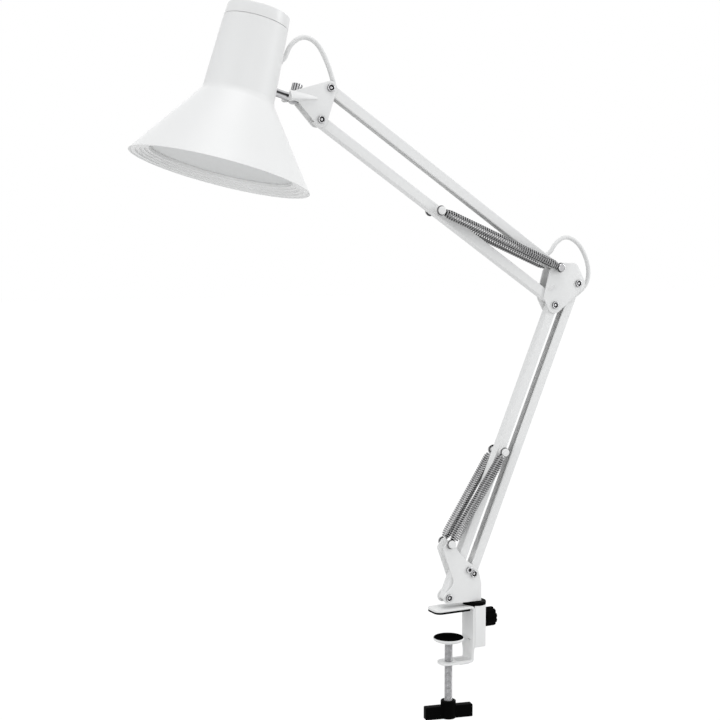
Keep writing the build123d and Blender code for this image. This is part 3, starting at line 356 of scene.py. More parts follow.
def metal_with_painted_light(name, colour, low, high, gloss):
    """Metal with painted light: painted highlights where a point's value is high and painted shade in its
    hollows where it is low, with a streaky polish.
    """
    made = new_coat(name)
    streak = made.noise(420.0, 4.0, 0.65)
    rise = made.own("crest") + 0.16 * (streak - 0.5)
    made.set(
        Base_Color=made.shade(rise, scaled(colour, 0.06), colour, low, high),
        Metallic=1.0,
        Roughness=gloss + 0.14 * streak,
    )
    return made.owner


def drawn_wire():
    """Drawn spring wire with painted light: a painted highlight outside the coil and painted shade inside
    it.
    """
    return metal_with_painted_light("drawn_wire", tone("wire"), 0.5, 0.95, 0.2)


def rolled():
    """Plated rivets and screw heads with painted light: a painted highlight on the lip and painted shade in
    the well.
    """
    return metal_with_painted_light("rolled_plating", scaled(tone("plated"), PAINTED_HIGHLIGHT), 0.3, 0.8, 0.14)


def threaded():
    """Plated thread with painted light: painted highlights on the crests and painted shade in the grooves.
    """
    return metal_with_painted_light("plated_thread", scaled(tone("plated"), PAINTED_HIGHLIGHT), 0.1, 0.8, 0.18)


def board_mask():
    """White solder mask with fine printed grain."""
    made = new_coat("board_mask")
    grain = made.noise(900.0, 2.0)
    colour = made.shade(grain, (0.70, 0.71, 0.70), (0.78, 0.79, 0.78))
    made.set(Base_Color=colour, Roughness=0.35 + 0.1 * grain)
    return made.owner


def phosphor():
    """Yellow phosphor of the LEDs."""
    made = new_coat("led_phosphor")
    grain = made.noise(3000.0, 3.0)
    colour = made.shade(grain, (0.72, 0.52, 0.08), (0.86, 0.68, 0.14))
    made.set(Base_Color=colour, Roughness=0.4 + 0.2 * grain)
    return made.owner


# Each finish with the slot of the pieces that have it
FINISHES = {
    "enamel": (enamel, "white_paint"),
    "moulded": (moulded, "white_plastic"),
    "sheath": (sheath, "white_lead"),
    "frosted": (frosted, "diffuser"),
    "plated": (plated, "chrome"),
    "turned": (lambda: plated("turned_steel", 0.8, 0.26), "chrome"),
    "wire": (drawn_wire, "spring_steel"),
    "rolled": (rolled, "chrome"),
    "thread": (threaded, "chrome"),
    "black": (black_moulding, "black_plastic"),
    "rubber": (rubber, "black_rubber"),
    "board": (board_mask, None),
    "phosphor": (phosphor, None),
}
MADE = {}


def finish(name):
    """A finish by name, made once."""
    if name not in MADE:
        MADE[name] = FINISHES[name][0]()
    return MADE[name]


# Surfaces


def sheet_faces(rows, columns, wrap_rows=False, wrap_columns=False):
    """Corner numbers of the quads between the points of a grid, which may close on itself either way."""
    down = np.arange(rows if wrap_rows else rows - 1)
    along = np.arange(columns if wrap_columns else columns - 1)
    row, column = np.meshgrid(down, along, indexing="ij")
    below = (row + 1) % rows
    beside = (column + 1) % columns
    row, below = row * columns, below * columns
    return np.stack((row + column, row + beside, below + beside, below + column), axis=-1).reshape(-1, 4)


def shell(points, wrap_rows=False, wrap_columns=True, caps=False):
    """A grid of points as a surface, with its first and last rows filled where caps are asked for."""
    rows, columns = points.shape[:2]
    faces = sheet_faces(rows, columns, wrap_rows, wrap_columns).tolist()
    if caps:
        faces.append(list(range(columns)))
        faces.append(list(range((rows - 1) * columns, rows * columns)))
    return points.reshape(-1, 3), faces


def piece(name, shells, coat, body=None, stands_for=(), crease=38.0, crest=None):
    """A closed piece from its shells, with doubles merged, normals outwards and edges sharp past a crease.

    Each point may carry a value from 0 to 1 that paints light for the finishes that read it: painted shade
    where it is low, a painted highlight where it is high.
    """
    points, faces, start = [], [], 0
    for shell_points, shell_faces in shells:
        points.append(shell_points)
        faces += [[corner + start for corner in face] for face in shell_faces]
        start += len(shell_points)
    mesh = bpy.data.meshes.new(name)
    mesh.from_pydata(np.concatenate(points), [], faces)
    if crest is not None:
        mesh.attributes.new("crest", "FLOAT", "POINT").data.foreach_set("value", np.ravel(crest))
    work = bmesh.new()
    work.from_mesh(mesh)
    bmesh.ops.remove_doubles(work, verts=work.verts, dist=1e-7)
    bmesh.ops.dissolve_degenerate(work, edges=work.edges, dist=1e-8)
    bmesh.ops.recalc_face_normals(work, faces=work.faces)
    work.to_mesh(mesh)
    work.free()
    mesh.polygons.foreach_set("use_smooth", np.ones(len(mesh.polygons), bool))
    mesh.set_sharp_from_angle(angle=math.radians(crease))
    made = bpy.data.objects.new(name, mesh)
    bpy.context.scene.collection.objects.link(made)
    mesh.materials.append(finish(coat))
    if body:
        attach(made, body)
    if stands_for:
        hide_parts(*stands_for)
    return made


def coat_nodes(coat, *names):
    """Gives carried-over CAD nodes a finish."""
    for name in names:
        NODES[name].data.materials.clear()
        NODES[name].data.materials.append(finish(coat))


def rounded(corners, radius, steps=6):
    """A 2-D line with its inner corners turned into arcs, by one radius or by one for each inner corner."""
    corners = np.asarray(corners, float)
    radii = np.broadcast_to(radius, len(corners) - 2)
    line = [corners[:1]]
    for before, corner, after, bend in zip(corners, corners[1:], corners[2:], radii):
        first, second = before - corner, after - corner
        first, second = first / np.linalg.norm(first), second / np.linalg.norm(second)
        half = math.acos(max(-1.0, min(1.0, float(first @ second)))) / 2
        if bend <= 0 or half < 1e-3 or abs(half - math.pi / 2) < 1e-3:
            line.append(corner[None])
            continue
        reach = bend / math.tan(half)
        bisector = (first + second) / np.linalg.norm(first + second)
        centre = corner + bisector * bend / math.sin(half)
        low, high = corner + first * reach - centre, corner + second * reach - centre
        start = math.atan2(low[1], low[0])
        sweep = math.atan2(low[0] * high[1] - low[1] * high[0], float(low @ high))
        angle = start + sweep * np.linspace(0, 1, steps + 1)
        line.append(centre + bend * np.stack((np.cos(angle), np.sin(angle)), axis=1))
    line.append(corners[-1:])
    return np.concatenate(line)


def full_turn(count):
    """Even angles of a full turn."""
    return np.arange(count) * 2 * np.pi / count


def turned(profile, origin, axis, across, segments, closed=False):
    """A profile of (radius, height) turned about an axis: origin + height * axis + radius * direction."""
    beside = np.cross(axis, across)
    angle = full_turn(segments)
    ring = np.cos(angle)[:, None] * across + np.sin(angle)[:, None] * beside
    points = origin + profile[:, 1, None, None] * axis + profile[:, 0, None, None] * ring
    return shell(points, wrap_rows=closed)


def turned_across(profile, centre):
    """A profile of (radius, distance from the arm plane) turned about the Y axis on each side."""
    return [turned(profile, centre * (1, 0, 1), side * ASIDE, ALONG, AROUND) for _, side in SIDES]


def painted_light_across(rise):
    """Painted light of a profile that is turned on each side, repeated for both sides."""
    return np.tile(np.repeat(rise, AROUND), 2)


def turned_upright(profile, segments):
    """A profile of (radius, height) turned about the clamp screw's axis."""
    return turned(profile, np.zeros(3), UPRIGHT, ALONG, segments)


def belt(circles, steps):
    """A closed line drawn counterclockwise round circles of (x, z, radius), with its outward normals.

    A negative radius is a circle that the line passes on its inside, as in a notch. Between two circles the
    line turns from the line of centres by asin((r1 - r2) / distance).
    """
    circles = np.array(circles, float)
    centres, radii = circles[:, :2], circles[:, 2]
    run = np.roll(centres, -1, axis=0) - centres
    ways = np.arctan2(run[:, 1], run[:, 0])
    ways = ways + np.arcsin((radii - np.roll(radii, -1)) / np.linalg.norm(run, axis=1))
    come = np.roll(ways, 1)
    turn = np.where(radii > 0, (ways - come) % (2 * np.pi), -((come - ways) % (2 * np.pi)))
    angle = come[:, None] + turn[:, None] * np.linspace(0, 1, steps)
    normal = np.stack((np.sin(angle), -np.cos(angle)), axis=-1)
    line = centres[:, None] + radii[:, None, None] * normal
    return line.reshape(-1, 2), normal.reshape(-1, 2)


def edge_profile(low, high, edge, steps):
    """Rounded edge of a sheet as (inset, height), from its lower face round to its upper face."""
    angle = np.linspace(0, np.pi / 2, steps + 1)
    lower = np.stack((edge * (1 - np.sin(angle)), low + edge * (1 - np.cos(angle))), axis=1)
    upper = np.stack((edge * (1 - np.cos(angle)), high - edge * (1 - np.sin(angle))), axis=1)
    return np.concatenate((lower, upper))


def sheet(circles, low, high, edge, axes=(ALONG, ASIDE, UPRIGHT), steps=14, rings=4):
    """A sheet with rounded edges: the edge profile carried along a belt, closed by its two faces."""
    line, normal = belt(circles, steps)
    profile = edge_profile(low, high, edge, rings)
    flat = line[None] - profile[:, 0, None, None] * normal[None]
    across, upward, outward = axes
    points = flat[..., :1] * across + flat[..., 1:] * upward + profile[:, 1, None, None] * outward
    return shell(points, caps=True)


def pressing(circles, edge, side):
    """A bracket's plate on one side of the bars."""
    return sheet(circles, PLATE_INNER, PLATE_OUTER, edge, (ALONG, UPRIGHT, side * ASIDE))


def tube(path, outward, radius, sides):
    """A round tube along a path in space, laid out from outward directions, and its crests."""
    along = np.gradient(path, axis=0)
    along /= np.linalg.norm(along, axis=1)[:, None]
    outward = outward - np.sum(outward * along, axis=1)[:, None] * along
    outward /= np.linalg.norm(outward, axis=1)[:, None]
    aside = np.cross(along, outward)
    angle = full_turn(sides)
    ring = np.cos(angle)[:, None] * outward[:, None] + np.sin(angle)[:, None] * aside[:, None]
    # A round tube along a path in space, laid out from outward directions, and the painted light of its
    # points: bright on the outward side, painted shade on the inward side.
    return shell(path[:, None] + radius * ring, caps=True), np.tile(0.5 + 0.5 * np.cos(angle), len(path))


def block_shell(size, centre, edge, axes=np.eye(3), steps=4):
    """A box with rounded corners and edges: a sheet as thick as the box, round four small circles."""
    half, corner = size / 2, edge + 1e-6
    places = (half[:2] - corner) * ((1, -1), (1, 1), (-1, 1), (-1, -1))
    circles = [(*place, corner) for place in places]
    points, faces = sheet(circles, -half[2], half[2], edge, axes, steps + 2, steps)
    return centre + points, faces


def off(point, *steps):
    """Points moved from one in the arm plane by steps of (x, z) millimetres."""
    return point + mm(*((x, 0, z) for x, z in steps))


# Shade

MOUTH_RADIUS = 87.0 * MM
CONE_HEIGHT = 73.5 * MM
NECK_BOTTOM_RADIUS = 34.5 * MM
NECK_TOP_RADIUS = 31.0 * MM
NECK_TOP = 145.0 * MM
NECK_BLEND = 14.0 * MM
SHADE_WALL = 1.2 * MM


def shade_line(depth):
    """Mouth, knee and top of the shade's profile, set in from its outer face by a depth."""
    line = np.array(((MOUTH_RADIUS, 0), (NECK_BOTTOM_RADIUS, CONE_HEIGHT), (NECK_TOP_RADIUS, NECK_TOP)))
    run = np.diff(line, axis=0)
    normal = np.stack((-run[:, 1], run[:, 0]), axis=1) / np.linalg.norm(run, axis=1)[:, None]
    knee = line[1] + depth * normal.sum(axis=0) / (1 + normal[0] @ normal[1])
    mouth = line[0] + (depth / normal[0, 0], 0)
    return np.array((mouth, knee, line[2] + (depth / normal[1, 0], 0)))


def cone_inside(height):
    """Radius of the cone's inner face at a height above the mouth."""
    mouth, knee, _ = shade_line(SHADE_WALL)
    return mouth[0] + (knee[0] - mouth[0]) * height / knee[1]


def turned_in_shade(profile, segments, closed=False):
    """A profile of (radius, height above the mouth) turned about the shade's axis."""
    return turned(profile, MOUTH, UP, OUT, segments, closed)


class LAMP_OT_shade(bpy.types.Operator):
    """Spun cone and neck with a moulded cap"""

    bl_idname = "clamp_lamp.shade"
    bl_label = "Shade"

    def execute(self, context):
        outer = rounded(shade_line(0), NECK_BLEND, 24)
        inner = rounded(shade_line(SHADE_WALL), NECK_BLEND + SHADE_WALL, 24)
        spun = turned_in_shade(np.concatenate((outer, inner[::-1])), 192, True)
        piece("shade_spun", [spun], "enamel", "shade", ["shade_shell"])
        low, high = NECK_TOP + 0.5 * MM, NECK_TOP + 12.4 * MM
        top_radius, spigot = NECK_TOP_RADIUS - 0.8 * MM, NECK_TOP_RADIUS - 1.3 * MM
        wall, foot = 1.5 * MM, low - 6 * MM
        corners = [
            (0, high),
            (top_radius, high),
            (NECK_TOP_RADIUS, low),
            (spigot, low),
            (spigot, foot),
            (spigot - wall, foot),
            (spigot - wall, high - wall),
            (0, high - wall),
        ]
        cap = turned_in_shade(rounded(corners, mm(1.6, 0.3, 0, 0.2, 0.2, 0.2)), 128)
        piece("cap_moulding", [cap], "moulded", "shade", ["shade_cap"])
        return {"FINISHED"}


class LAMP_OT_light_unit(bpy.types.Operator):
    """Stepped ring and diffuser in the mouth, and the pieces behind them"""

    bl_idname = "clamp_lamp.light_unit"
    bl_label = "Light unit"

    def execute(self, context):
        lift, width, rise, steps = 0.8 * MM, 4.0 * MM, 1.6 * MM, 4
        ledge, thick, gap = 2.0 * MM, 2.0 * MM, 0.1 * MM
        outside, top = cone_inside(lift) - gap, lift + steps * rise + ledge
        corner = np.arange(2 * steps)
        treads = np.stack((outside - width * (1 + corner // 2), lift + rise * ((corner + 1) // 2)), axis=1)
        start, back = (outside, lift), (cone_inside(top) - gap, top)
        line = np.concatenate(((start,), treads, ((treads[-1, 0], top), back, start)))
        ring = turned_in_shade(rounded(line, 0.35 * MM, 4)[:-1], 192, True)
        piece("stepped_ring", [ring], "moulded", "shade", ["rim_ring"])
        reach = cone_inside(top + thick) - 0.6 * MM
        corners = [(0, top), (reach, top), (reach, top + thick), (0, top + thick)]
        disc = turned_in_shade(rounded(corners, 0.3 * MM), 160)
        piece("diffuser_disc", [disc], "frosted", "shade", ["diffuser"])
        coat_nodes("plated", "stem_nut", "stem_washer")
        coat_nodes("turned", "led_carrier")
        coat_nodes("board", "led_board")
        coat_nodes("phosphor", "led_chips")
        coat_nodes("moulded", "driver", "lead_sleeve")
        coat_nodes("sheath", "driver_wires")
        return {"FINISHED"}


# Head bracket


def raised(flat, over, under, side):
    """A form on a plate: points of the arm plane at their upper and lower distances from that plane."""
    top, low = (flat + np.asarray(rise)[..., None] * side * ASIDE for rise in (over, under))
    return shell(np.concatenate((top, low[:, ::-1]), axis=1), caps=True)


def beside(way):
    """A direction of the arm plane after a quarter turn."""
    return np.array((-way[2], 0, way[0]))


def beak(tip, way, length, width, height, side, flank=0.4, end=0.25):
    """A pressed beak: height * taper, a quarter sine up its steep flank, then a parabola to the plate."""
    along = np.linspace(0, 1, 40)[:, None]
    across = np.linspace(-1, 1, 41)[None]
    steep = np.sin(np.clip((across + 1) / flank, 0, 1) * np.pi / 2)
    slope = 1 - np.clip((across + 1 - flank) / (2 - flank), 0, 1) ** 2
    rise = height * np.sqrt(1 - along) * steep * slope
    spread = width * (end + (1 - end) * (1 - along)) * across
    flat = tip + (along * length)[..., None] * way + spread[..., None] * beside(way)
    return raised(flat, PLATE_OUTER + rise, PLATE_OUTER - SUNK, side)


class LAMP_OT_head_bracket(bpy.types.Operator):
    """Two pressed plates, the stem with its eye, and the clamp stud"""

    bl_idname = "clamp_lamp.head_bracket"
    bl_label = "Head bracket"

    def execute(self, context):
        edge = context.scene.lamp_sizes.edge
        lobe, corner, throat = 6.8 * MM, 0.7 * MM, 1.5 * MM
        nose = TILT_AXIS + (corner - 8.2 * MM) * OUT
        rise = 3.8 * MM - corner
        upper, lower = nose + rise * UP, nose - rise * UP
        neck = off(TILT_AXIS + 2.3 * MM * OUT - 3.1 * MM * UP, (-0.82, -1.33))[0]
        rounds = ((upper, corner), (lower, corner), (neck, -throat), (HEAD_BOTTOM, lobe), (HEAD_TOP, lobe))
        circles = [(*place[[0, 2]], radius) for place, radius in rounds]
        tip = (TILT_AXIS - 8.0 * MM * OUT) * (1, 0, 1)
        way = np.array((0.9986, 0, -0.0523))
        for name, side in SIDES:
            shells = [pressing(circles, edge, side), beak(tip, way, *mm(29.0, 5.4, 5.2), side)]
            node = f"head_plate_{name}"
            piece(f"head_pressing_{name}", shells, "enamel", "head_bracket", [node])
        spigot, long = -8.3, 21.1
        rod = mm((0, spigot), (2.5, spigot), (2.5, 0), (4.0, 0), (4.0, long), (0, long))
        bar = turned(rounded(rod, 0.25 * MM), TILT_AXIS - long * MM * OUT, OUT, ASIDE, AROUND)
        bore, rim, half = 2.06, 5.5, 4.5
        eye = mm((bore, -half), (rim, -half), (rim, half), (bore, half), (bore, -half), (rim, -half))
        ring = turned(rounded(eye, 0.9 * MM)[1:-1], TILT_AXIS, ASIDE, ALONG, 48, True)
        # Painted reflection: four dark and four bright bands round the rod, and an even mid tone on the eye
        painted_reflection_bands = np.sqrt(0.5 - 0.5 * np.cos(4 * full_turn(AROUND)))
        crest = np.concatenate((np.tile(painted_reflection_bands, len(bar[0]) // AROUND), np.full(len(ring[0]), 0.6)))
        piece("stem_rod", [bar, ring], "rolled", "stem", ["stem"], crest=crest)
        coat_nodes("enamel", "head_clamp_stud")
        return {"FINISHED"}


# Rivets


def rivet_profile(seat, head=3.8 * MM, height=1.9 * MM):
    """A rolled rivet end as (radius, distance), with a lip, a groove and a dome, and each point's painted
    light.
    """
    well, lip = 0.7 * head, 0.15 * head
    angle = np.linspace(0, np.pi, 13)
    foot = ((0, seat - 0.4 * MM), (head * 0.9, seat - 0.4 * MM), (head, seat + 0.2 * MM))
    rim = np.stack((head - lip + lip * np.cos(angle), seat + height - lip * (1 - np.sin(angle))), axis=1)
    dome = ((0.98 * well, seat + 0.4 * MM), (0.8 * well, seat + 0.3 * MM), (0.6 * well, seat + 0.8 * MM))
    crown = ((0.4 * well, seat + 1.1 * MM), (0.2 * well, seat + 1.2 * MM), (0, seat + 1.2 * MM))
    # Painted shade under the foot and in the well, painted highlights on the lip and the dome's crown
    crest = np.concatenate(((0, 0, 0.2), 0.3 + 0.6 * np.sin(angle), (0.05, 0, 0.25, 0.7, 0.9, 0.9)))
    return np.concatenate((foot, rim, dome, crown)), crest


def plain_pin(centre, reach):
    """A round pin across the arm plane that reaches so many millimetres to each side."""
    line = mm((0, -reach), (2.0, -reach), (2.0, reach), (0, reach))
    return turned(line, centre, ASIDE, ALONG, PIN_AROUND)


class LAMP_OT_rivets(bpy.types.Operator):
    """Rolled pivot rivets, side screws and the elbow's pins"""

    bl_idname = "clamp_lamp.rivets"
    bl_label = "Rivets"

    def execute(self, context):
        bodies = {
            "base_front_rivet": "base",
            "base_rear_rivet": "base",
            "elbow_front_rivet": "elbow",
            "elbow_rear_rivet": "elbow",
            "head_top_rivet": "head_bracket",
            "head_bottom_rivet": "head_bracket",
        }
        shank, seat, face = 5.6, PLATE_OUTER / MM, 8.8
        ends, rise = rivet_profile(PLATE_OUTER)
        for node, body in bodies.items():
            pin = plain_pin(middle(node), shank)
            # Painted light of the rivet ends; the pins carry the darkest painted shade all over
            crest = np.concatenate((painted_light_across(rise), np.zeros(len(pin[0]))))
            shells = [*turned_across(ends, middle(node)), pin]
            piece(f"{node}_rolled", shells, "rolled", body, [node], crest=crest)
        head = mm((0, shank), (2.0, shank), (2.0, seat), (3.5, seat), (3.5, face), (0, face))
        head = rounded(head, 0.5 * MM)
        recess = mm((1.9, face), (1.5, face - 1), (0.5, face - 1.4), (0, face - 1.4))
        screw = np.concatenate((head[:-1], recess))
        # Painted light of the side screws: painted shade down the head's side and in the recess, a painted
        # highlight on the face
        rise = np.where(np.arange(len(screw)) < len(head), np.clip(screw[:, 1] / MM - 7.6, 0, 1), 0.1)
        screws, crest = turned_across(screw, SIDE_SCREW), painted_light_across(rise)
        piece("side_screw_heads", screws, "rolled", "base", ["base_side_screws"], crest=crest)
        pin = plain_pin(ELBOW_INNER, 6.7)
        piece("elbow_inner_pivot", [pin], "plated", "elbow", ["elbow_inner_pin"])
        coat_nodes("turned", "pintle")
        return {"FINISHED"}


# Springs, with the distance of their hooks from the arm plane and the hooks' radius

EAR_HOOK = 8.8 * MM
PIN_HOOK = 11.7 * MM
HOOK_RADIUS = 4.4 * MM


def spring_line(length, turns, coil, hook, per_turn=18, easing=2.2, slim=0.72):
    """Line of an extension spring along X, and outward directions.

    A hook round the origin, a neck, turns whose radius eases up from the neck, and the same at the far end.
    The turns are (x, r cos, r sin); the hooks are arcs in the XY plane; cubic curves join them.
    """
    neck = hook + 0.6 * MM
    share = np.linspace(0, 1, turns * per_turn + 1)
    angle = 2 * np.pi * turns * share - np.pi / 2
    ease = np.clip(np.minimum(share, 1 - share) * turns / easing, 0, 1)
    radius = coil * (slim + (1 - slim) * (ease * ease * (3 - 2 * ease)))
    level = neck + (length - 2 * neck) * share
    wound = np.stack((level, radius * np.cos(angle), radius * np.sin(angle)), axis=1)
    wound_out = np.stack((np.zeros_like(angle), np.cos(angle), np.sin(angle)), axis=1)
    arc = np.radians(np.linspace(35, 318, 44))
    ring = np.stack((hook * np.cos(arc), hook * np.sin(arc), np.zeros_like(arc)), axis=1)
    way = np.array((-np.sin(arc[-1]), np.cos(arc[-1]), 0))
    step = wound[1] - wound[0]
    pull = 0.9 * np.linalg.norm(wound[0] - ring[-1])
    t = np.linspace(0, 1, 14)[1:-1, None]
    join = (
        (1 - t) ** 3 * ring[-1]
        + 3 * t * (1 - t) ** 2 * (ring[-1] + way * pull * 0.5)
        + 3 * t**2 * (1 - t) * (wound[0] - step / np.linalg.norm(step) * pull * 0.5)
        + t**3 * wound[0]
    )
    join_out = (1 - t) * ring[-1] / hook + t * wound_out[0]
    head = np.concatenate((ring, join))
    head_out = np.concatenate((ring / hook, join_out))
    flip = np.array((-1, -1, 1))
    tail = (head * flip)[::-1] + np.array((length, 0, 0))
    path = np.concatenate((head, wound, tail))
    return path, np.concatenate((head_out, wound_out, (head_out * flip)[::-1]))


def laid(points, start, along):
    """Points of a flat frame laid from a start along a direction of the arm plane."""
    return points @ np.stack((along, beside(along), -ASIDE)) + start


class LAMP_OT_springs(bpy.types.Operator):
    """Four extension springs"""

    bl_idname = "clamp_lamp.springs"
    bl_label = "Springs"

    def execute(self, context):
        sizes = context.scene.lamp_sizes
        lower = (sizes.lower_spring, sizes.lower_turns, EAR, EAR_HOOK, LOWER_PIN)
        upper = (sizes.upper_spring, sizes.upper_turns, ELBOW_TOP, PIN_HOOK, UPPER_PIN)
        arms = (
            ("lower", *lower, ("base", "lower_front_bar"), 0.78),
            ("upper", *upper, ("elbow", "upper_lower_bar"), 0.45),
        )
        for arm, diameter, turns, anchor, near_hook, pin, bodies, reach in arms:
            coil = (diameter - sizes.wire_diameter) / 2
            length = np.linalg.norm(pin - anchor)
            along = (pin - anchor) / length
            path, outward = spring_line(length, turns, coil, HOOK_RADIUS)
            for name, side in SIDES:
                mirror = np.array((1, 1, -side))
                aside = near_hook + (PIN_HOOK - near_hook) * np.clip(path[:, 0] / length, 0, 1)
                place = laid(path * mirror, anchor, along) + side * aside[:, None] * ASIDE
                # Painted light of the wire: a painted highlight outside the coil and painted shade inside it
                wound, crest = tube(place, laid(outward * mirror, 0, along), sizes.wire_diameter / 2, 8)
                node = f"{arm}_spring_{name}"
                made = piece(f"{node}_wound", [wound], "wire", None, [node], 80, crest)
                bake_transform(made)
        return {"FINISHED"}


class LAMP_OT_spring_studs(bpy.types.Operator):
    """White caps and studs that the spring hooks ride on, and the elbow's long screw"""

    bl_idname = "clamp_lamp.spring_studs"
    bl_label = "Spring studs"

    def execute(self, context):
        def cap(inner, hook=PIN_HOOK / MM, groove=3.3, flange=4.2):
            low, high = hook + 0.9, hook + 3.5
            line = mm((0, inner), (groove, inner), (groove, low), (flange, low), (flange, high), (0, high))
            return rounded(line, mm(0.01, 0.3, 0.5, 1.0))

        for name, centre, body, inner, hook, node in (
            ("ear_studs", EAR, "base", 6.0, EAR_HOOK, "base_spring_studs"),
            ("lower_caps", LOWER_PIN, "lower_front_bar", 5.2, PIN_HOOK, "lower_pin_caps"),
            ("upper_caps", UPPER_PIN, "upper_lower_bar", 5.2, PIN_HOOK, "upper_pin_caps"),
        ):
            shells = turned_across(cap(inner, hook / MM), centre)
            piece(name, shells, "moulded", body, [node])
        rim, face = PIN_HOOK + 3.5 * MM, PIN_HOOK + 3.2 * MM
        face_line = ((3.3 * MM, rim), (3.1 * MM, face), (2.9 * MM, face), (0, face))
        end = np.concatenate((cap(-1.0)[:-1], face_line))
        # Painted light of the elbow screw: a painted highlight on the top of the cap and its face, painted
        # shade lower down the cap and in a thin ring round the face
        rise = np.concatenate((np.where(end[:-4, 1] > rim - 1.2 * MM, 0.85, 0.15), (0.85, 0.1, 0.75, 0.75)))
        ends, crest = turned_across(end, ELBOW_TOP), painted_light_across(rise)
        piece("elbow_screw", ends, "rolled", "elbow", ["elbow_spring_screw"], crest=crest)
        pins = (("lower", LOWER_PIN, "lower_front_bar"), ("upper", UPPER_PIN, "upper_lower_bar"))
        for arm, centre, body in pins:
            node = f"{arm}_spring_pin"
            piece(f"{arm}_cross_pin", [plain_pin(centre, 14.0)], "plated", body, [node])
        return {"FINISHED"}


# Arms, elbow and base


class LAMP_OT_arms(bpy.types.Operator):
    """Enamelled channel bars"""

    bl_idname = "clamp_lamp.arms"
    bl_label = "Arm bars"

    def execute(self, context):
        coat_nodes("enamel", "lower_front_bar", "lower_rear_bar", "upper_top_bar", "upper_lower_bar")
        return {"FINISHED"}


def lance(start, way, side, length=8.7 * MM, width=3.6 * MM, height=2.8 * MM):
    """A lanced lip on a plate: open along one edge, at height * sin(along), and falling away from it."""
    along = np.linspace(0, 1, 30)[:, None]
    fall = np.linspace(0, 1, 12)[None]
    bulge = np.sin(np.pi * along)
    lift = height * bulge**0.6
    spread = width * bulge**0.5 * fall
    flat = start + (along * length)[..., None] * way + spread[..., None] * beside(way)
    under = PLATE_OUTER - SUNK + 0.6 * lift * (1 - fall) ** 3
    return raised(flat, PLATE_OUTER + lift * (1 - fall) ** 1.5, under, side)


class LAMP_OT_elbow(bpy.types.Operator):
    """Two pressed elbow plates, each with a lanced mark"""

    bl_idname = "clamp_lamp.elbow"
    bl_label = "Elbow"

    def execute(self, context):
        edge = context.scene.lamp_sizes.edge
        top = ELBOW_TOP[[0, 2]] / MM
        circles = mm(
            (*ELBOW_FRONT[[0, 2]] / MM, 8.8),
            (*ELBOW_BACK[[0, 2]] / MM, 8.8),
            (*(top + (20.3, -1.3)), 6.2),
            (*(top + (3.0, -1.6)), 6.2),
            (*(top + (-7.2, -4.6)), 3.4),
            (*ELBOW_INNER[[0, 2]] / MM, 7.2),
        )
        mark = off(ELBOW_TOP, (-11.2, -24.4))[0] * (1, 0, 1)
        for name, side in SIDES:
            shells = [pressing(circles, edge, side), lance(mark, np.array((0.812, 0, 0.583)), side)]
            node = f"elbow_plate_{name}"
            piece(f"elbow_pressing_{name}", shells, "enamel", "elbow", [node])
        return {"FINISHED"}


class LAMP_OT_base(bpy.types.Operator):
    """Folded base bracket with ears for the springs"""

    bl_idname = "clamp_lamp.base"
    bl_label = "Base bracket"

    def execute(self, context):
        edge = context.scene.lamp_sizes.edge
        ear = EAR[[0, 2]] / MM
        rear, bottom, thick, tall, bevel = 35.5, 8.0, 1.5, 18.5, 0.4 * MM
        circles = mm(
            (*BASE_FRONT[[0, 2]] / MM, 6.3),
            (rear - 1, bottom + 1, 1.0),
            (rear - 1, bottom + tall, 1.0),
            (*BASE_BACK[[0, 2]] / MM, 6.3),
            (*(ear + (51.05, 19.7)), -50.0),
            (*ear, 4.0),
            (*(ear + (-3.8, -5.3)), 4.2),
            (*(ear + (-4.0, -40.5)), -8.0),
        )
        shells = [pressing(circles, edge, side) for _, side in SIDES]
        web = block_shell(mm(thick, 13.0, tall), mm(rear - thick / 2, 0, bottom + tall / 2), bevel)
        floor = block_shell(mm(16.5, 12.0, thick), mm(26.6, 0, bottom + thick / 2), bevel)
        piece("base_pressing", [*shells, web, floor], "enamel", "base", ["base_bracket"])
        return {"FINISHED"}


# Clamp, whose jaw reaches a little past its CAD edge and has rounded corners

JAW_NOSE = 2.6 * MM
JAW_CORNER = 6.5 * MM
STRIP_HALF = 1.1 * MM


def strip_line():
    """Middle line of the clamp's strip in the arm plane, from the upper jaw's front to the lower's."""
    low, high = np.array(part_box("clamp_frame"))[:, [0, 2]]
    tip = -11.0 * MM
    top, bottom, back = high[1] - STRIP_HALF, low[1] + STRIP_HALF, high[0] - STRIP_HALF
    return rounded([(low[0] - JAW_NOSE, top), (back, top), (back, bottom), (tip, bottom)], 2.5 * MM, 10)


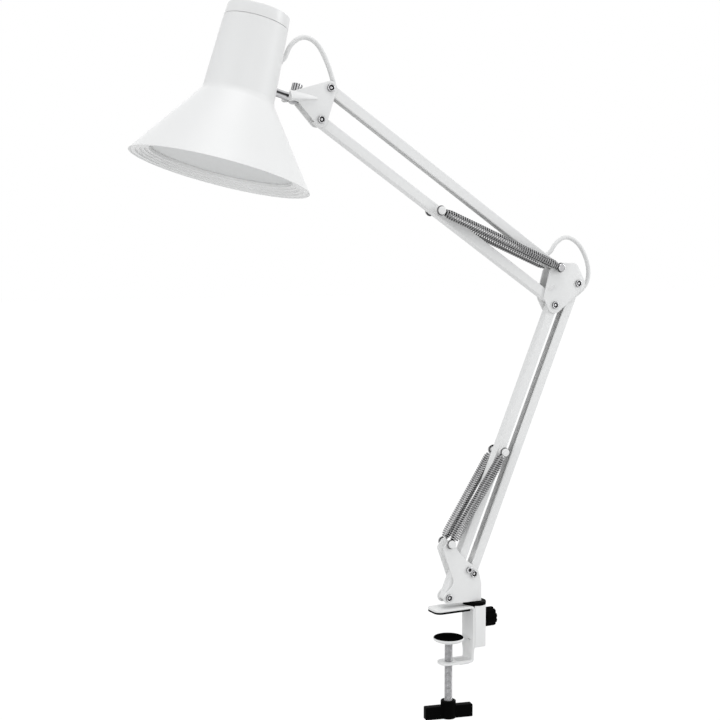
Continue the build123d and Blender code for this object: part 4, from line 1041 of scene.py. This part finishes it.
class LAMP_OT_clamp(bpy.types.Operator):
    """Bent strip with a pressed groove, its pad, and the post with its bush"""

    bl_idname = "clamp_lamp.clamp"
    bl_label = "Clamp"

    def strip(self):
        """Strip that narrows from the jaw to the spine and the tongue, with a groove down its back."""
        bend = strip_line()
        gap = np.linalg.norm(np.diff(bend, axis=0), axis=1)
        travel = np.concatenate(([0], np.cumsum(gap)))
        ease = 0.5 - 0.5 * np.cos(np.pi * np.linspace(0, 1, 24))
        upper, lower = JAW_CORNER, 8.0 * MM
        far = travel[-1] - lower
        place = np.unique(np.concatenate((upper * ease, travel[1:-1], np.linspace(upper, far, 150))))
        place = np.concatenate((place[place < far], travel[-1] - lower * ease[::-1]))
        line = np.stack([np.interp(place, travel, bend[:, axis]) for axis in (0, 1)], axis=1)
        along = np.gradient(line, place, axis=0)
        along /= np.linalg.norm(along, axis=1)[:, None]
        normal = np.stack((along[:, 1], -along[:, 0]), axis=1)
        from_tip = travel[-1] - place
        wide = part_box("clamp_frame")[1].y
        tongue, spine, ramp = mm(10.0, 11.6, 6.0)
        tongue_length, jaw_length = mm(42.9, 44.0)
        waist = np.clip((from_tip - tongue_length) / ramp, 0, 1)
        jaw = np.clip((jaw_length - place) / ramp, 0, 1)
        half = tongue + (spine - tongue) * waist + (wide - spine) * jaw
        for corner, reach in ((upper, place), (lower, from_tip)):
            inset = np.clip(corner - reach, 0, corner)
            half = half - corner + np.sqrt(corner**2 - inset**2)
        profile, edge = np.linspace(-1, 1, 61), 0.5 * MM
        flank = np.clip(edge - (1 - np.abs(profile)) * wide, 0, edge)
        face = STRIP_HALF - edge + np.sqrt(np.maximum(edge**2 - flank**2, 0))
        groove, groove_half, groove_low, groove_high, run_out = mm(3.2, 5.0, 18.0, 58.0, 4.0)
        pressed = np.clip((from_tip - groove_low) / ramp, 0, 1)
        pressed = pressed * np.clip((groove_high - from_tip) / run_out, 0, 1)
        pressed = pressed * pressed * (3 - 2 * pressed)
        width = profile[None] * half[:, None]
        sunk = groove * pressed[:, None] * np.exp(-((width / groove_half) ** 6))
        outside = np.stack((width, face - sunk), axis=-1)
        inside = np.stack((width, -face - sunk), axis=-1)
        rim = np.concatenate((outside, inside[:, ::-1]), axis=1)
        flat = line[:, None] + rim[..., 1:] * normal[:, None]
        points = np.stack((flat[..., 0], rim[..., 0], flat[..., 1]), axis=-1)
        piece("clamp_strip", [shell(points, caps=True)], "enamel", "clamp", ["clamp_frame"])

    def cushion(self):
        """Pad under the jaw, with the jaw's corners."""
        low, high = np.array(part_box("jaw_pad"))
        nose, flat, small = low[0] - JAW_NOSE + JAW_CORNER, high[1] - JAW_CORNER, 0.6 * MM
        circles = [
            (high[0] - small, low[1] + small, small),
            (high[0] - small, high[1] - small, small),
            (nose, flat, JAW_CORNER),
            (nose, -flat, JAW_CORNER),
        ]
        pad = sheet(circles, low[2], high[2], 0.3 * MM)
        piece("jaw_cushion", [pad], "rubber", "clamp", ["jaw_pad"])

    def post(self):
        """Channel behind the spine, whose inner corners are circles that the line passes on their inside."""
        low, high = np.array(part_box("post_box")) / MM
        front, back, half, wall = low[0], high[0], high[1], 2.0
        outline = mm(
            (front, -half, 0.3),
            (back, -half, 2.4),
            (back, half, 2.4),
            (front, half, 0.3),
            (front, half - wall, 0.3),
            (back - wall, half - wall, -0.8),
            (back - wall, wall - half, -0.8),
            (front, wall - half, 0.3),
        )
        inward = np.array(((1, 1), (-1, 1), (-1, -1), (1, -1), (1, 1), (1, 1), (1, -1), (1, -1)))
        outline[:, :2] += inward * outline[:, 2:]
        channel = sheet(outline, low[2] * MM, high[2] * MM, 0.3 * MM, steps=8)
        piece("post_channel", [channel], "enamel", "clamp", ["post_box"])

    def execute(self, context):
        self.strip()
        self.cushion()
        self.post()
        coat_nodes("black", "swivel_bush")
        return {"FINISHED"}


class LAMP_OT_clamp_screw(bpy.types.Operator):
    """Threaded screw with its cup, pad and T-handle"""

    bl_idname = "clamp_lamp.clamp_screw"
    bl_label = "Clamp screw"

    def execute(self, context):
        pitch = context.scene.lamp_sizes.thread_pitch
        low, high = np.array(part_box("clamp_screw"))[:, 2]
        height = np.linspace(low, high, int((high - low) / pitch * 10))
        angle = full_turn(28)
        phase = (height[:, None] / pitch - angle[None] / (2 * np.pi)) % 1
        groove = np.clip(1.25 - np.abs(phase * 2 - 1) * 2.2, 0, 1)
        crown, depth, lead_in = mm(4.2, 0.62, 0.8)
        radius = crown * np.clip((high - height) / lead_in, 0.75, 1)[:, None] - depth * groove
        level = np.broadcast_to(height[:, None], radius.shape)
        points = np.stack((radius * np.cos(angle), radius * np.sin(angle), level), axis=-1)
        # Painted shade in the thread's grooves and painted highlights on its crests
        thread, crest = shell(points, caps=True), 1 - groove
        piece("screw_thread", [thread], "thread", "clamp_screw", ["clamp_screw"], 70, crest)
        bottom, top = np.array(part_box("pressure_cup"))[:, 2] / MM
        wide, well, rim = 16.2, 15.5, top + 0.9
        side = rim - 1.2
        sweep = np.radians(np.linspace(0, 72, 12))
        bowl = np.stack((wide * np.cos(sweep), side - (side - bottom) * np.sin(sweep)), axis=1)
        lip = ((0, top), (well, top), (well, rim), (wide - 0.3, rim), (wide, rim - 0.4))
        dish = turned_upright(rounded(mm(*lip, *bowl, (4.6, bottom), (0, bottom)), 0.15 * MM), 96)
        piece("pressure_dish", [dish], "enamel", "clamp_cup", ["pressure_cup"])
        fit, face = well - 0.1, top + 1.5
        disc = turned_upright(rounded(mm((0, top), (fit, top), (fit, face), (0, face)), mm(0.1, 0.5)), 96)
        piece("pressure_disc", [disc], "rubber", "clamp_cup", ["pressure_pad"])
        turn = math.radians(-11.0)
        cosine, sine = math.cos(turn), math.sin(turn)
        axes = np.array(((cosine, sine, 0), (-sine, cosine, 0), UPRIGHT))
        low, high = np.array(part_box("screw_handle"))[:, 2]
        size, hub = mm(52.0, 9.0, 13.5), 8.0 * MM
        bar = block_shell(size, (0, 0, low + size[2] / 2), 1.2 * MM, axes, 5)
        boss = [(0, low), (hub, low), (hub, high), (3.9 * MM, high), (0, high - 0.2 * MM)]
        collar = turned_upright(rounded(boss, 0.9 * MM), 64)
        piece("tee_handle", [bar, collar], "black", "clamp_screw", ["screw_handle"])
        return {"FINISHED"}


# Knobs


def fluted(lobes, diameter, grip, collar, neck, depth):
    """Knob along Z from its seat: its radius falls by depth * cos-shaped flutes and eases at its rims.

    Its lengths are given in millimetres.
    """
    diameter, grip, collar, neck, depth = mm(diameter, grip, collar, neck, depth)
    angle = full_turn(lobes * 14)
    flute = depth * np.clip(np.cos(angle * lobes) * 1.35, 0, 1) ** 1.5
    share = np.linspace(0, 1, 22)
    ease = np.sqrt(np.clip(1 - np.clip((np.abs(share * 2 - 1) - 0.8) / 0.2, 0, 1) ** 2, 0, 1))
    rim = diameter / 2 - 0.16 * grip * (1 - ease)
    grip_rows = rim[:, None] - flute[None] * (0.35 + 0.65 * ease[:, None])
    round_row = np.ones_like(angle)
    foot = np.outer((0, collar / 2, collar / 2), round_row)
    face = np.outer((diameter * 0.34, diameter * 0.30, 0), round_row)
    top, sunk = neck + grip, neck + grip - 0.06 * grip
    height = np.concatenate(((0, 0, neck), neck + grip * share, (top, sunk, sunk)))
    radius = np.concatenate((foot, grip_rows, face))
    return radius * np.cos(angle), radius * np.sin(angle), np.broadcast_to(height[:, None], radius.shape)


class LAMP_OT_knobs(bpy.types.Operator):
    """Fluted lock knob on the post and the thumb screw on the head"""

    bl_idname = "clamp_lamp.knobs"
    bl_label = "Knobs"

    def execute(self, context):
        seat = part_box("lock_knob")[0].x
        aside, upward, outward = fluted(10, diameter=20.4, grip=12.5, collar=13.0, neck=2.4, depth=1.3)
        height = JOINTS["lock_knob_turn"]["pos_m"][2]
        points = np.stack((seat + outward, aside, height + upward), axis=-1)
        piece("post_knob", [shell(points)], "black", "lock_knob", ["lock_knob"], crease=50)
        aside, upward, outward = fluted(12, diameter=10.4, grip=8.4, collar=4.0, neck=3.9, depth=0.6)
        outward = outward + 2.3 * MM
        points = TILT_AXIS + aside[..., None] * OUT + upward[..., None] * ASIDE + outward[..., None] * UP
        # Painted light of the thumb screw: painted shade in the flutes, painted highlights on their ridges,
        # a mid tone on the top and collar
        out = np.hypot(aside, upward)
        crest = np.where(out < 3.7 * MM, 0.5, np.clip(1 - (5.2 * MM - out) / (0.6 * MM), 0, 1))
        knob = [shell(points)]
        piece("head_thumb_screw", knob, "rolled", "head_knob", ["head_lock_knob"], 50, crest)
        coat_nodes("plated", "lock_screw")
        return {"FINISHED"}


# Lead


def bar_points(start, end, *reaches):
    """Points on a bar's axis, so many millimetres from its start."""
    return start + (end - start) * mm(*reaches)[:, None] / np.linalg.norm(end - start)


def in_shade(out, up):
    """A point of the arm plane in the shade's own axes, in millimetres from the mouth's centre."""
    return MOUTH + out * MM * OUT + up * MM * UP


def lead_line(name, route):
    """Points of the smooth line that a route's control points give, read from a curve with no bevel."""
    curve = bpy.data.curves.new(name, "CURVE")
    curve.dimensions = "3D"
    spline = curve.splines.new("NURBS")
    spline.points.add(len(route) - 1)
    weighted = np.concatenate((route, np.ones((len(route), 1))), axis=1)
    spline.points.foreach_set("co", weighted.ravel())
    spline.order_u = 3
    spline.use_endpoint_u = True
    spline.resolution_u = 14
    holder = bpy.data.objects.new(name, curve)
    line = bpy.data.meshes.new_from_object(holder)
    points = np.empty(len(line.vertices) * 3)
    line.vertices.foreach_get("co", points)
    bpy.data.objects.remove(holder)
    bpy.data.curves.remove(curve)
    bpy.data.meshes.remove(line)
    return points.reshape(-1, 3)


class LAMP_OT_lead(bpy.types.Operator):
    """Lead from the driver through the arms, with its two free loops"""

    bl_idname = "clamp_lamp.lead"
    bl_label = "Lead"

    def stretch(self, name, line, first, last, bodies, blend, node=None):
        """One stretch of a loop between two shares of its points."""
        diameter = bpy.context.scene.lamp_sizes.lead_diameter
        part = line[int(first * (len(line) - 1)) : int(last * (len(line) - 1)) + 1]
        wire, _ = tube(part, np.cross(np.gradient(part, axis=0), ASIDE), diameter / 2, 16)
        made = piece(name, [wire], "sheath", None, [node] if node else (), crease=80)
        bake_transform(made)

    def execute(self, context):
        start, leaves = in_shade(20.6, 106.6), in_shade(36.4, 122.9)
        over_head = ((-39.6, 39.7), (-26.1, 48.7), (-11.9, 43.7), (-2.6, 29.2), (3.9, 13.2))
        head_route = (
            (start, start + 0.72 * (leaves - start), leaves),
            off(HEAD_TOP, *over_head),
            bar_points(HEAD_TOP, ELBOW_TOP, 11.2, 31.0),
        )
        over_elbow = ((-6.3, 14.3), (1.7, 26.8), (14.7, 33.8), (30.2, 26.8))
        behind_elbow = ((14.2, 29.2), (18.7, 13.9), (16.9, 1.3), (9.1, -7.9))
        elbow_route = (
            bar_points(ELBOW_TOP, HEAD_TOP, 42.0, 22.0),
            off(ELBOW_TOP, *over_elbow),
            off(ELBOW_BACK, *behind_elbow),
            bar_points(ELBOW_BACK, BASE_BACK, 20.0, 40.0),
        )
        head = lead_line("head_lead_route", np.concatenate(head_route))
        self.stretch("head_lead_neck", head, 0, 0.36, ("shade", "stem"), (0.5, 0.95), "head_lead_loop")
        self.stretch("head_lead_top", head, 0.36, 0.64, ("stem", "head_bracket"), (0.05, 0.95))
        self.stretch("head_lead_fall", head, 0.64, 1, ("head_bracket", "upper_top_bar"), (0.05, 0.6))
        elbow = lead_line("elbow_lead_route", np.concatenate(elbow_route))
        rise = ("upper_top_bar", "elbow")
        self.stretch("elbow_lead_rise", elbow, 0, 0.5, rise, (0.3, 0.9), "elbow_lead_loop")
        self.stretch("elbow_lead_fall", elbow, 0.5, 1, ("elbow", "lower_rear_bar"), (0.15, 0.7))
        coat_nodes("sheath", "upper_lead_run", "lower_lead_run")
        return {"FINISHED"}


# Stage


class LAMP_OT_stage(bpy.types.Operator):
    """Pale floor, soft studio light and the camera"""

    bl_idname = "clamp_lamp.stage"
    bl_label = "Stage"

    def light(self, name, place, aim, size, power):
        """A soft rectangular lamp."""
        data = bpy.data.lights.new(name, "AREA")
        data.shape = "RECTANGLE"
        data.size, data.size_y = size
        data.energy = power
        lamp = bpy.data.objects.new(name, data)
        lamp.location = place
        lamp.rotation_euler = (Vector(aim) - Vector(place)).to_track_quat("-Z", "Y").to_euler()
        bpy.context.scene.collection.objects.link(lamp)

    def backdrop(self):
        """World that lights softly and shows as white."""
        world = bpy.data.worlds.new("studio")
        bpy.context.scene.world = world
        made = Shader(world, "Background")
        made.set(Color=(0.97, 0.985, 1.0, 1), Strength=0.70)
        white = made.node("ShaderNodeBackground", {}, {"Color": (1, 1, 1, 1)})
        made.show(white, 1.0, "World Output")

    def floor(self):
        """Pale floor just under the handle, which shows as white with a faint shadow."""
        level = CAD_BOX[0].z - 0.4 * MM
        mesh = bpy.data.meshes.new("floor")
        corners = 12.0 * np.array(((-1, -1), (1, -1), (1, 1), (-1, 1)))
        mesh.from_pydata([(x, y, level) for x, y in corners], [], [(0, 1, 2, 3)])
        plane = bpy.data.objects.new("floor", mesh)
        bpy.context.scene.collection.objects.link(plane)
        made = new_coat("pale_floor")
        made.set(Base_Color=(0.66, 0.66, 0.66, 1), Roughness=0.9)
        glow = made.node("ShaderNodeEmission", {}, {"Color": (1, 1, 1, 1), "Strength": 1.08})
        made.show(glow, 0.9, "Material Output")
        mesh.materials.append(made.owner)

    def execute(self, context):
        context.scene.view_settings.view_transform = "Standard"
        self.backdrop()
        self.floor()
        aim = (-0.08, 0, 0.25)
        self.light("key", (-0.1, -0.5, 2.8), aim, (1.4, 1.4), 20.0)
        self.light("left", (-2.3, -0.9, 0.6), aim, (0.5, 1.6), 5.0)
        self.light("low", (-1.1, -0.8, 0.02), (0, 0, 0), (0.6, 0.6), 2.8)
        self.light("right", (2.3, -1.2, 0.9), aim, (0.5, 1.6), 19.0)
        self.light("back", (0.6, 2.0, 1.6), aim, (1.8, 1.2), 6.0)
        data = bpy.data.cameras.new("camera")
        data.lens = 67.5
        data.sensor_width = 36.0
        camera = bpy.data.objects.new("camera", data)
        camera.location = (-0.70106, -1.19825, 0.37399)
        target = Vector((-0.1036, 0, 0.2663))
        camera.rotation_euler = (target - camera.location).to_track_quat("-Z", "Y").to_euler()
        context.scene.collection.objects.link(camera)
        context.scene.camera = camera
        return {"FINISHED"}


PIECES = (
    LAMP_OT_stage,
    LAMP_OT_lead,
    LAMP_OT_shade,
    LAMP_OT_light_unit,
    LAMP_OT_head_bracket,
    LAMP_OT_arms,
    LAMP_OT_elbow,
    LAMP_OT_springs,
    LAMP_OT_spring_studs,
    LAMP_OT_base,
    LAMP_OT_rivets,
    LAMP_OT_clamp,
    LAMP_OT_clamp_screw,
    LAMP_OT_knobs,
)


class LAMP_PT_panel(bpy.types.Panel):
    """Lists the lamp's pieces, sizes and finishes"""

    bl_idname = "LAMP_PT_panel"
    bl_label = "Clamp lamp"
    bl_space_type = "VIEW_3D"
    bl_region_type = "UI"
    bl_category = "Lamp"

    def draw(self, context):
        for made in PIECES:
            self.layout.operator(made.bl_idname)
        for group in (context.scene.lamp_sizes, context.scene.lamp_finish):
            for name in group.__annotations__:
                self.layout.prop(group, name)


CLASSES = (LampSizes, LampFinish, *PIECES, LAMP_PT_panel)


def register():
    for each in CLASSES:
        bpy.utils.register_class(each)
    bpy.types.Scene.lamp_sizes = bpy.props.PointerProperty(type=LampSizes)
    bpy.types.Scene.lamp_finish = bpy.props.PointerProperty(type=LampFinish)


def unregister():
    del bpy.types.Scene.lamp_finish
    del bpy.types.Scene.lamp_sizes
    for each in reversed(CLASSES):
        bpy.utils.unregister_class(each)


def main():
    register()
    for made in PIECES:
        group, name = made.bl_idname.split(".")
        getattr(getattr(bpy.ops, group), name)()


if __name__ == "__main__":
    main()
